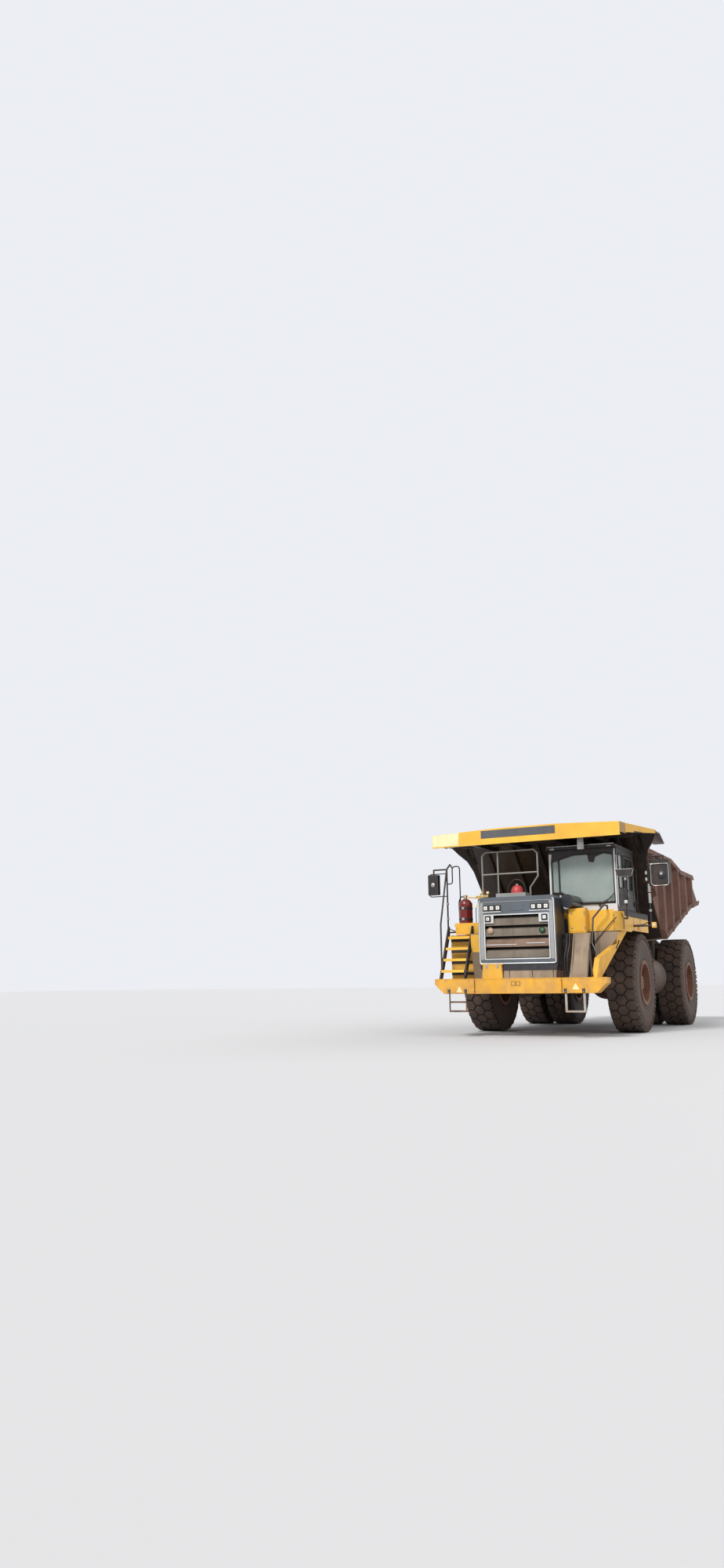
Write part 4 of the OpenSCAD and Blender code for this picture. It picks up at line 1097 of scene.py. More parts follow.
@dataclass
class WheelFittings(Part):
    """Nuts, lock ring, hub cap and valve on the outside of a wheel."""

    node: str
    body: Body
    side: float
    disc: float
    hub_end: float
    hub_radius: float
    nut_ring: float = 0.335
    nuts: int = 24

    def build(self) -> None:
        """Add the fittings as one piece."""
        low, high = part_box(self.node)
        y, z = (low.y + high.y) / 2, (low.z + high.z) / 2
        outer = high.x if self.side > 0 else low.x
        piece = Workpiece(self.node + "_fittings", RIM, STEEL, CAST)
        face = self.side * (abs(outer) - self.disc)
        for a, b in ring(self.nuts, self.nut_ring):
            piece.bolt((face, y + a, z + b), Axis.X, 0.019, self.side, 1)
            piece.lathe([(0.009, 0), (0.009, 0.034), (0.006, 0.036)], (face, y + a, z + b), Axis.X, 1, 8, self.side)
        # Lock ring and side ring inside the flange
        for radius, depth, thick in ((0.430, 0.012, 0.013), (0.452, 0.002, 0.010)):
            section = [(radius + thick * math.cos(t), thick * math.sin(t))
                       for t in (2 * math.pi * k / 8 for k in range(9))]
            piece.lathe(section, (outer - self.side * (depth + 0.004), y, z), Axis.X, 0, 72)
        cap = self.side * (abs(outer) - self.hub_end)
        r = self.hub_radius
        piece.lathe([(r, 0.0), (r, 0.012), (r * 0.93, 0.020), (r * 0.55, 0.022), (r * 0.50, 0.034), (0.0, 0.036)],
                    (cap, y, z), Axis.X, 0, 48, self.side)
        for a, b in ring(12, r * 0.84, 0.5):
            piece.bolt((cap + self.side * 0.019, y + a, z + b), Axis.X, 0.014, self.side, 1)
        for a, b in ring(2, r * 0.36, 0.25):
            piece.bolt((cap + self.side * 0.028, y + a, z + b), Axis.X, 0.018, self.side, 2)
        piece.tube([(face + self.side * 0.005, y + 0.24, z + 0.24), (face + self.side * 0.06, y + 0.25, z + 0.25),
                    (face + self.side * 0.09, y + 0.30, z + 0.30)], 0.008, 2, 0.02, 8)
        piece.done(self.body)


@dataclass
class Grille(Part):
    """Dark housing, silver surround, lamps and louvres at the truck's nose."""

    wall: float = 0.06
    corner: float = 0.10
    face_t: float = 0.03
    lamp_bar: float = 0.385

    def build(self) -> None:
        """Measure the CAD nodes and build the five pieces round them."""
        self.low, self.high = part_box("grille_housing")
        self.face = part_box("grille_surround")[0].y
        self.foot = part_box("grille_surround")[0].z
        self.top = self.high.z
        self.half = self.high.x
        self.housing()
        self.surround()
        self.lamps()
        self.louvres()
        self.small_parts()

    def housing(self) -> None:
        """Housing with large rounded corners, open to the front and back."""
        piece = Workpiece("grille_housing_dressed", CHARCOAL, BLACK)
        h, t = self.half, self.wall
        outer = rounded_outline(oblong(-h, self.low.z, h, self.top), self.corner)
        inner = rounded_outline(oblong(-h + t, self.foot + t, h - t, self.top - t), self.corner * 0.6)
        piece.frame_plate(outer, inner, Axis.Y, self.low.y, self.high.y, 0, 0.008)
        for side in (-1, 1):
            piece.block((side * (h - 0.002) - 0.003, self.low.y + 0.10, self.foot + 0.12),
                        (side * (h - 0.002) + 0.003, self.high.y - 0.06, self.top - 0.25), 1, 0.002)
        piece.done(Body.CHASSIS, ["grille_housing"])

    def surround(self) -> None:
        """Slate frame with bright strips along its sides and foot, a lamp bar and corner brackets."""
        piece = Workpiece("grille_surround_dressed", SLATE, SILVER, STEEL, ASH)
        h, f = self.half, self.face
        w = 0.15
        low, bar = self.foot + w - 0.025, self.top - self.lamp_bar
        outer = rounded_outline(oblong(-h, self.foot, h, self.top), 0.08)
        inner = rounded_outline(oblong(-h + w, low, h - w, bar), 0.02)
        piece.frame_plate(outer, inner, Axis.Y, f + 0.008, f + self.face_t, 0, 0.008)
        # Ash-grey side bars between two bright strips, and the strips along the foot
        for side in (-1, 1):
            piece.plate([(side * (h - 0.120), low - 0.02), (side * (h - 0.045), low - 0.02),
                         (side * (h - 0.045), self.top - 0.11), (side * (h - 0.120), self.top - 0.11)],
                        Axis.Y, f + 0.004, f + 0.02, 3, 0.002)
            piece.tube([(side * (h - 0.10), f + 0.006, self.foot + 0.022),
                        (side * (h - 0.022), f + 0.006, self.foot + 0.022),
                        (side * (h - 0.022), f + 0.006, self.top - 0.10),
                        (side * (h - 0.05), f + 0.006, self.top - 0.055)],
                       0.012, 1, 0.06, 8)
            for k in range(8):
                piece.bolt((side * (h - 0.080), f + 0.004, self.foot + 0.16 + k * 0.150), Axis.Y, 0.008, -1, 2)
            # Bracket that carries the corner lamp
            piece.plate([(side * 0.50, bar), (side * 0.50, bar - 0.165), (side * 0.70, bar - 0.165),
                         (side * 0.70, bar)],
                        Axis.Y, f, f + 0.012, 1, 0.004)
        piece.tube([(-h + 0.08, f + 0.006, self.foot + 0.022), (h - 0.08, f + 0.006, self.foot + 0.022)],
                   0.010, 1, 0.02, 8)
        lip_out = rounded_outline(oblong(-h + w - 0.022, low - 0.022, h - w + 0.022, bar + 0.022), 0.03)
        piece.frame_plate(lip_out, inner, Axis.Y, f, f + 0.02, 1, 0.003)
        for start, end in ((-0.735, -0.335), (0.30, 0.735)):
            piece.block((start, f - 0.001, self.top - 0.318), (end, f + 0.012, self.top - 0.300), 1, 0.003)
        piece.block((-h + 0.07, f + 0.002, self.top - 0.105), (h - 0.07, f + 0.012, self.top - 0.094), 3, 0.002)
        # Plain plate between the lamp sockets
        piece.block((-0.16, f - 0.002, self.top - 0.30), (0.16, f + 0.01, self.top - 0.15), 0, 0.006)
        piece.done(Body.CHASSIS, ["grille_surround"])

    def lamps(self) -> None:
        """Three square lamps in a dark socket at each end of the bar, and one in each upper corner."""
        piece = Workpiece("grille_lamps_dressed", BLACK, ASH, LAMP)
        f = self.face
        for side in (-1, 1):
            piece.block((side * 0.53 - 0.205, f - 0.004, self.top - 0.290),
                        (side * 0.53 + 0.205, f + 0.012, self.top - 0.165), 0, 0.010)
            for k in range(3):
                self.square_lamp(piece, side * (0.393 + 0.137 * k), self.top - 0.228, 0.038)
            x = side * 0.625
            piece.block((x - 0.068, f - 0.008, self.top - 0.525), (x + 0.068, f + 0.010, self.top - 0.390), 0, 0.006)
            self.square_lamp(piece, x, self.top - 0.457, 0.034)
        piece.done(Body.CHASSIS, ["grille_lamps"])

    def square_lamp(self, piece: Workpiece, x: float, z: float, half: float) -> None:
        """Add a lamp: a white rounded lens with a ring in it.

        Args:
            piece: The mesh to add to.
            x: Its middle across the truck.
            z: Its middle in height.
            half: Half of its width.
        """
        f = self.face
        piece.plate(square(x, z, half), Axis.Y, f - 0.022, f - 0.002, 2, 0.006)
        piece.lathe([(half * 0.48, 0.0), (half * 0.48, 0.003), (half * 0.34, 0.004), (half * 0.30, 0.001),
                     (0.0, 0.001)],
                    (x, f - 0.022, z), Axis.Y, 1, 24, -1)

    def louvres(self) -> None:
        """Four curved blades with a lip, and dark slots over them."""
        piece = Workpiece("grille_louvres_dressed", TAUPE, DARK, RUST, SILVER)
        reach = self.half - self.wall - 0.001
        low, bar = self.foot + 0.125, self.top - self.lamp_bar
        pitch = (bar - low) / 4
        y = self.low.y
        for k in range(4):
            z = low + k * pitch
            section = [(y + 0.004, z + 0.012), (y + 0.004, z + 0.030), (y + 0.012, z + 0.10), (y + 0.030, z + 0.155),
                       (y + 0.062, z + pitch - 0.050), (y + 0.100, z + pitch - 0.030), (y + 0.106, z + pitch - 0.040),
                       (y + 0.072, z + pitch - 0.062), (y + 0.040, z + 0.150), (y + 0.022, z + 0.09),
                       (y + 0.016, z + 0.012)]
            piece.plate(section, Axis.X, -reach, reach, 2 if k == 1 else 0, 0.0)
            for x in (-0.36, 0.0, 0.36):
                piece.plate([(y + 0.010, z + 0.02), (y + 0.10, z + pitch - 0.05), (y + 0.13, z + pitch - 0.05),
                             (y + 0.06, z + 0.02)], Axis.X, x - 0.004, x + 0.004, 1, 0.0)
        for start, end, z in ((-0.70, -0.02, low + pitch + 0.055), (0.20, 0.60, low + pitch + 0.075)):
            piece.block((start, y, z), (end, y + 0.012, z + 0.014), 3, 0.002)
        piece.done(Body.CHASSIS, ["grille_louvres"])

    def small_parts(self) -> None:
        """Round marker lamps in front of the louvres, each on a dark block."""
        piece = Workpiece("grille_markers", BLACK, BEIGE, GREEN_LENS)
        f = self.low.y
        for x, z, glass in ((-0.58, 2.215, 1), (0.56, 2.195, 2)):
            piece.lathe([(0.058, 0.0), (0.064, 0.015), (0.064, 0.034), (0.056, 0.040), (0.050, 0.030)],
                        (x, f + 0.006, z), Axis.Y, 0 if glass == 2 else 1, 32, -1)
            piece.lathe([(0.052, 0.024), (0.046, 0.038), (0.034, 0.050), (0.018, 0.057), (0.0, 0.059)],
                        (x, f + 0.010, z), Axis.Y, glass, 32, -1)
            piece.block((x - 0.03, f, z - 0.03), (x + 0.03, f + 0.07, z + 0.03), 0, 0.004)
        piece.done(Body.CHASSIS)


@dataclass
class Bumper(Part):
    """Seam strips, covers, blank triangles and bolts on the bumper."""

    low: float = 0.90
    high: float = 1.21

    def build(self) -> None:
        """Add the trim as one piece."""
        low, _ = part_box("bumper")
        face = low.y
        piece = Workpiece("bumper_trim", YELLOW_LOW, CREAM, STEEL, DARK, BLACK)
        for x in (-0.09, 0.016):
            piece.frame_plate(square(x, 1.105, 0.046), square(x, 1.105, 0.038),
                              Axis.Y, face - 0.003, face + 0.004, 3, 0.001)
            piece.plate(square(x, 1.105, 0.036), Axis.Y, face - 0.004, face + 0.004, 0, 0.002)
        for x, z in ((-1.30, 0.985), (1.232, 1.03)):
            sign = rounded_outline([(x - 0.075, z - 0.055), (x + 0.075, z - 0.055), (x, z + 0.075)], 0.012)
            piece.plate(sign, Axis.Y, face - 0.004, face + 0.004, 1, 0.001)
        for x in (-1.80, -1.62, -1.08, -0.98, -0.92, 0.92, 0.98, 1.08, 1.50, 1.80):
            for z in (self.low + 0.05, self.high - 0.04) if abs(x) < 1.6 else (self.high - 0.04,):
                piece.bolt((x, face, z), Axis.Y, 0.011, -1, 2)
        # Lip along the top, with gaps at the two seams
        for start, end in ((-1.86, -0.972), (-0.928, 0.928), (0.972, 1.86)):
            piece.block((start, face - 0.006, self.high - 0.012), (end, face + 0.10, self.high + 0.005), 0, 0.003)
        for x in (-1.35, 1.205):
            for side in (-1, 1):
                piece.block((x + side * 0.19 - 0.03, face - 0.008, self.low + 0.01),
                            (x + side * 0.19 + 0.03, face + 0.01, self.low + 0.10), 4, 0.003)
                for z in (self.low + 0.035, self.low + 0.09):
                    piece.bolt((x + side * 0.19, face - 0.008, z), Axis.Y, 0.012, -1, 2)
        # Tow pin heads over their bores
        for side in (-1, 1):
            at = (side * 0.42, face + 0.11, self.high)
            piece.lathe([(0.058, 0.0), (0.058, 0.012), (0.050, 0.016), (0.0, 0.016)], at, Axis.Z, 2, 32)
            piece.tube([(at[0] - 0.03, at[1], self.high + 0.012), (at[0] - 0.03, at[1], self.high + 0.05),
                        (at[0] + 0.03, at[1], self.high + 0.05), (at[0] + 0.03, at[1], self.high + 0.012)],
                       0.006, 2, 0.02, 8)
        piece.done(Body.CHASSIS)


@dataclass
class Canopy(Part):
    """Bare dark band, cream patch, stiffeners and the hanging bracket of the canopy; the ribs, corner plates and
    stiffeners under it are dark as painted shade.
    """

    wall_foot: Flat = (0.055, 2.10)
    wall_head: Flat = (-1.915, 4.05)

    def build(self) -> None:
        """Add the fascia's trim, the underside, the corner gussets and the stiffeners."""
        low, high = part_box("bed_front")
        face, top = low.y, high.z
        piece = Workpiece("canopy_front_trim", BAND, CREAM, YELLOW_CLEAN, STEEL)
        piece.plate(rounded_outline(oblong(-0.955, top - 0.21, 0.75, top - 0.035), 0.01),
                    Axis.Y, face - 0.004, face + 0.004, 0, 0.001)
        piece.plate([(-2.132, top - 0.322), (-1.505, top - 0.322), (-1.485, top - 0.037), (-2.132, top - 0.062)],
                    Axis.Y, face - 0.004, face + 0.004, 1, 0.001)
        for x in (-1.45, -0.98, 0.78, 1.45):
            piece.block((x - 0.004, face - 0.003, top - 0.325), (x + 0.004, face + 0.004, top - 0.07), 2, 0.001)
        # Rolled lip under the fascia
        piece.block((-2.14, face, top - 0.345), (2.14, face + 0.05, top - 0.326), 2, 0.006)
        piece.done(Body.BED)
        # Ribs under the canopy, dark as painted shade
        under = Workpiece("canopy_underside", DARK, BED_STEEL, STEEL)
        level = top - 0.11
        for y in (face + 0.40, face + 0.95, face + 1.50):
            for start, end in ((-2.05, -1.42), (-1.30, -0.62), (-0.50, 0.50), (0.62, 1.30), (1.42, 2.05)):
                under.plate([(y, level), (y + 0.02, level - 0.09), (y + 0.10, level - 0.09), (y + 0.12, level)],
                            Axis.X, start, end, 0, 0.004)
        # Bracket that hangs in front of the cab's roof, with its rubber flap
        x = 1.205
        under.block((x - 0.06, face + 0.30, top - 0.14), (x + 0.06, face + 0.34, top - 0.10), 2, 0.004)
        under.plate(rounded_outline([(x - 0.075, top - 0.56), (x + 0.075, top - 0.56), (x + 0.06, top - 0.12),
                                     (x - 0.06, top - 0.12)], 0.02), Axis.Y, face + 0.31, face + 0.325, 2, 0.003)
        for z in (top - 0.18, top - 0.50):
            for side in (-1, 1):
                under.bolt((x + side * 0.035, face + 0.31, z), Axis.Y, 0.009, -1, 2)
        under.done(Body.BED)
        # Dark plates at the canopy's corners: painted shade under it
        close = Workpiece("corner_gussets", DARK)
        for start, end in ((-2.13, -1.95), (1.95, 2.13)):
            points = [self.by_wall(z, out) for z, out in ((3.98, 0.0), (4.375, 0.0), (4.375, 0.03), (3.98, 0.03))]
            close.plate(points, Axis.X, start, end, 0, 0.002)
        close.done(Body.BED)
        self.wall(top)

    def by_wall(self, z: float, behind: float) -> Flat:
        """A point (y, z) at a distance behind the front wall's sloping face, or ahead of it if negative."""
        (foot_y, foot_z), (head_y, head_z) = self.wall_foot, self.wall_head
        slope = (foot_y - head_y) / (foot_z - head_z)
        return (head_y + (z - head_z) * slope + behind, z)

    def wall(self, top: float) -> None:
        """Upright stiffeners on the front wall, following its slope, dark as painted shade under the canopy."""
        piece = Workpiece("front_wall_stiffeners", DARK)
        points = [self.by_wall(z, -out) for z, out in ((top - 0.12, 0.0), (2.55, 0.0), (2.55, 0.08), (2.62, 0.10),
                                                       (top - 0.20, 0.10), (top - 0.12, 0.06))]
        for x in (-1.6, -0.95, -0.32, 0.32, 0.95, 1.6):
            piece.plate(points, Axis.X, x - 0.045, x + 0.045, 0, 0.006)
        piece.done(Body.BED)


@dataclass
class CabFront(Part):
    """Pale pillar and cowl, seals, wipers, divider and roof edge round the windscreen."""

    front: float = -3.565
    screen: Tuple[Flat, ...] = ((0.44, 3.05), (0.65, 3.03), (0.92, 2.86), (1.16, 2.80), (1.81, 2.80), (1.81, 3.82),
                                (1.63, 3.86), (0.94, 3.86), (0.44, 3.73))

    def build(self) -> None:
        """Add the trim of the front and of the roof."""
        f = self.front
        piece = Workpiece("cab_front_trim", WHITE, SEAL, BLACK, STEEL, CHROME)
        piece.plate([(0.60, 3.00), (0.90, 2.825), (1.15, 2.762), (1.82, 2.762), (1.856, 2.80), (1.856, 2.585),
                     (1.30, 2.585), (0.95, 2.62), (0.60, 2.72)], Axis.Y, f - 0.012, f + 0.002, 0, 0.005)
        piece.plate([(1.822, 2.77), (1.856, 2.77), (1.856, 3.95), (1.835, 3.95), (1.822, 3.84)],
                    Axis.Y, f - 0.014, f + 0.002, 0, 0.005)
        piece.block((1.856, f - 0.010, 2.62), (1.872, f + 0.004, 3.95), 1, 0.002)
        piece.block((1.872, f - 0.013, 2.62), (1.884, f + 0.004, 3.80), 0, 0.002)
        piece.plate([(0.382, 2.95), (0.430, 3.04), (0.430, 3.74), (0.450, 3.90), (0.382, 3.90)],
                    Axis.Y, f - 0.010, f + 0.002, 0, 0.005)
        loop = [(x, f - 0.004, z) for x, z in self.screen]
        piece.tube(loop + [loop[0], loop[1]], 0.014, 1, 0.05, 10)
        piece.block((0.585, f - 0.006, 3.03), (0.612, f + 0.050, 3.785), 1, 0.004)
        # Wipers: arm, blade and the dark sweep of their linkage under the glass
        piece.tube([(0.60, f - 0.03, 3.06), (0.69, f - 0.03, 3.005), (0.91, f - 0.035, 2.845), (1.08, f - 0.035, 2.790),
                    (1.60, f - 0.035, 2.785)], 0.026, 1, 0.12, 12)
        piece.tube([(1.48, f - 0.02, 2.74), (1.55, f - 0.045, 2.80), (1.76, f - 0.03, 2.90)], 0.008, 2, 0.04, 8)
        piece.tube([(1.62, f - 0.03, 2.80), (1.80, f - 0.02, 2.98)], 0.010, 1, 0.02, 8)
        piece.tube([(1.00, f - 0.02, 2.73), (1.04, f - 0.045, 2.79), (0.76, f - 0.03, 3.00)], 0.008, 2, 0.04, 8)
        for x in (1.00, 1.48):
            piece.lathe([(0.026, 0.0), (0.026, 0.03), (0.018, 0.038), (0.0, 0.04)], (x, f - 0.010, 2.735),
                        Axis.Y, 2, 24, -1)
        # Roof edge with its bright strip, marker lamps and grab bars
        low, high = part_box("cab_roof")
        piece.tube([(low.x + 0.03, low.y - 0.006, high.z + 0.004), (high.x - 0.03, low.y - 0.006, high.z + 0.004)],
                   0.011, 4, 0.02, 10)
        for x in (0.50, 1.13, 1.76):
            piece.block((x - 0.05, low.y - 0.004, high.z - 0.062), (x + 0.05, low.y + 0.03, high.z - 0.028), 3, 0.006)
        for y in (low.y + 0.35, low.y + 0.75, low.y + 1.15):
            piece.block((low.x + 0.10, y, high.z - 0.002), (high.x - 0.10, y + 0.05, high.z + 0.014), 2, 0.005)
        piece.done(Body.CHASSIS)
        # Dark film at the top of the screen
        film = Workpiece("screen_film", SEAL)
        film.plate([(1.24, 3.855), (1.27, 3.69), (1.38, 3.67), (1.42, 3.79), (1.60, 3.855)],
                   Axis.Y, f + 0.024, f + 0.028, 0, 0.0)
        film.done(Body.CHASSIS)


@dataclass
class CabSides(Part):
    """Trim of the door, the seals of the other side windows, grab rails, and the cab's air grids."""

    side: float = 1.88
    door: Tuple[float, float] = (-2.925, -2.145)
    glass_z: Tuple[float, float] = (3.10, 3.79)

    def build(self) -> None:
        """Add what turns with the door, then what stays on the cab."""
        x = self.side
        y0, y1 = self.door
        z0, z1 = self.glass_z
        door = Workpiece("door_trim", SEAL, BLACK, STEEL)
        self.seal(door, oblong(y0 + 0.10, z0, y1 - 0.10, z1), x)
        self.seal(door, oblong(y0 + 0.02, 2.67, y1 - 0.02, 3.83), x - 0.004)
        door.tube([(x, y0 + 0.07, 2.93), (x + 0.045, y0 + 0.07, 2.93), (x + 0.045, y0 + 0.07, 3.06),
                   (x, y0 + 0.07, 3.06)],
                  0.010, 2, 0.02, 10)
        door.lathe([(0.024, 0.0), (0.024, 0.006), (0.016, 0.010), (0.0, 0.010)], (x, y0 + 0.07, 2.88), Axis.X, 2, 24)
        door.plate(rounded_outline(oblong(y0 + 0.16, 2.74, y1 - 0.14, 3.02), 0.05),
                   Axis.X, x - 0.002, x + 0.006, 1, 0.004)
        door.done(Body.DOOR)
        cab = Workpiece("cab_side_trim", SEAL, BLACK, STEEL, WHITE)
        self.seal(cab, oblong(-3.435, 3.10, -3.025, 3.85), x)
        self.seal(cab, oblong(-3.365, 3.10, -2.245, 3.85), 0.38)
        for y in (-2.985, -2.085):
            cab.tube([(x, y, 2.80), (x + 0.06, y, 2.80), (x + 0.06, y, 3.60), (x, y, 3.60)], 0.013, 1, 0.04, 10)
        cab.plate(oblong(-3.62, 2.487, -1.42, 2.582), Axis.X, 2.0, 2.006, 0, 0.002)
        for y in (-3.54, -3.00, -2.07):
            for z in (2.70, 3.05, 3.88):
                cab.bolt((x, y, z), Axis.X, 0.009, 1, 2)
        # Air intake grid under the side window and the heater's vents at the back
        for k in range(7):
            cab.block((x - 0.002, -3.42, 2.72 + 0.04 * k), (x + 0.010, -3.06, 2.735 + 0.04 * k), 1, 0.003)
        cab.block((0.62, -2.047, 2.70), (1.50, -2.030, 2.98), 1, 0.006)
        for k in range(6):
            cab.block((0.66, -2.034, 2.735 + 0.04 * k), (1.46, -2.020, 2.750 + 0.04 * k), 0, 0.002)
        cab.done(Body.CHASSIS)

    def seal(self, piece: Workpiece, outline: Sequence[Flat], x: float) -> None:
        """Add a rubber seal round a window in a side wall.

        Args:
            piece: The mesh to add to.
            outline: The window's corners as (y, z).
            x: The wall's face.
        """
        loop = [(x, y, z) for y, z in outline]
        start = tuple((a + b) / 2 for a, b in zip(loop[0], loop[1]))
        piece.tube([start] + loop[1:] + [loop[0], start], 0.012, 0, 0.05, 8)


@dataclass
class Seat(Part):
    """Driver's seat: pedestal, cushion, back and head rest."""

    x: float = 1.13
    y: float = -2.565
    floor: float = 2.64
    swell: float = 0.014

    def build(self) -> None:
        """Build the frame, then each pad."""
        base = Workpiece("seat_frame", BLACK, STEEL, SEAL)
        x, y, z = self.x, self.y, self.floor
        base.block((x - 0.17, y - 0.17, z), (x + 0.17, y + 0.17, z + 0.035), 0, 0.01)
        base.lathe([(0.15 - 0.02 * (k % 2), z + 0.04 + 0.022 * k) for k in range(11)], (x, y, 0.0), Axis.Z, 2, 32)
        base.block((x - 0.18, y - 0.18, z + 0.27), (x + 0.18, y + 0.17, z + 0.325), 0, 0.01)
        for side in (-1, 1):
            base.tube([(x + side * 0.165, y + 0.14, z + 0.315), (x + side * 0.165, y + 0.25, z + 0.40),
                       (x + side * 0.165, y + 0.25, z + 0.60)], 0.014, 1, 0.04, 10)
            base.tube([(x + side * 0.06, y + 0.28, z + 0.90), (x + side * 0.06, y + 0.28, z + 0.98)], 0.008, 1, 0.01, 8)
        base.done(Body.CHASSIS, ["cab_seat"])
        self.pad("seat_cushion", (x, y, z + 0.395), (0.264, 0.270, 0.062), Axis.Z)
        self.pad("seat_back", (x, y + 0.28, z + 0.700), (0.248, 0.055, 0.232), Axis.Y)
        self.pad("head_rest", (x, y + 0.28, z + 0.995), (0.125, 0.045, 0.048), Axis.Y)

    def pad(self, name: str, centre: Point, half: Point, crown: Axis) -> None:
        """Make one stuffed pad with two sewn channels and a piped seam.

        Args:
            name: Name of the piece.
            centre: Its middle.
            half: Half of its size along each axis.
            crown: The axis along which it is thickest in the middle.
        """
        form = bmesh.new()
        bmesh.ops.create_cube(form, size=2.0)
        bmesh.ops.subdivide_edges(form, edges=form.edges, cuts=11, use_grid_fill=True)
        k = crown.value
        a, b = (i for i in range(3) if i != k)
        for vert in form.verts:
            p = vert.co
            edge = max(abs(p[a]), abs(p[b]))
            pull = 1.0 - 0.035 * (1.0 - min(abs(p[a]), abs(p[b])) ** 2) * edge ** 6
            p[k] *= 1.0 - 0.45 * edge ** 4
            p[a], p[b] = p[a] * pull, p[b] * pull
            vert.co = [c + (h - self.swell) * v for c, h, v in zip(centre, half, p)]
        form = stuffed(form, self.swell)
        for vert in form.verts:
            for at in (-0.5, 0.5):
                across = ((vert.co[a] - centre[a]) / half[a] - at) * half[a]
                groove = 0.14 * math.exp(-(across / 0.009) ** 2)
                vert.co[k] = centre[k] + (vert.co[k] - centre[k]) * (1.0 - groove)
        seam = self.seam(form, centre, a, b)
        piece = Workpiece(name, SEAT, SEAL)
        piece.bevelled(form, 0.0, 0)
        piece.tube(seam, 0.0045, 1, 0.004, 8)
        piece.done(Body.CHASSIS)

    def seam(self, form: bmesh.types.BMesh, centre: Point, a: int, b: int) -> List[Point]:
        """Find the route of the piping round a pad's middle.

        Args:
            form: The pad.
            centre: Its middle.
            a: First axis of the middle plane.
            b: Second axis of the middle plane.

        Returns:
            Points on the pad's rim, closed.
        """
        tree = BVHTree.FromBMesh(form)
        route = []
        for i in range(65):
            angle = 2 * math.pi * (i + 0.37) / 64
            way = Vector((0.001, 0.001, 0.001))
            way[a], way[b] = math.cos(angle), math.sin(angle)
            hit = tree.ray_cast(Vector(centre) + way, -way)[0]
            route.append(tuple(hit - way * 0.001))
        return route


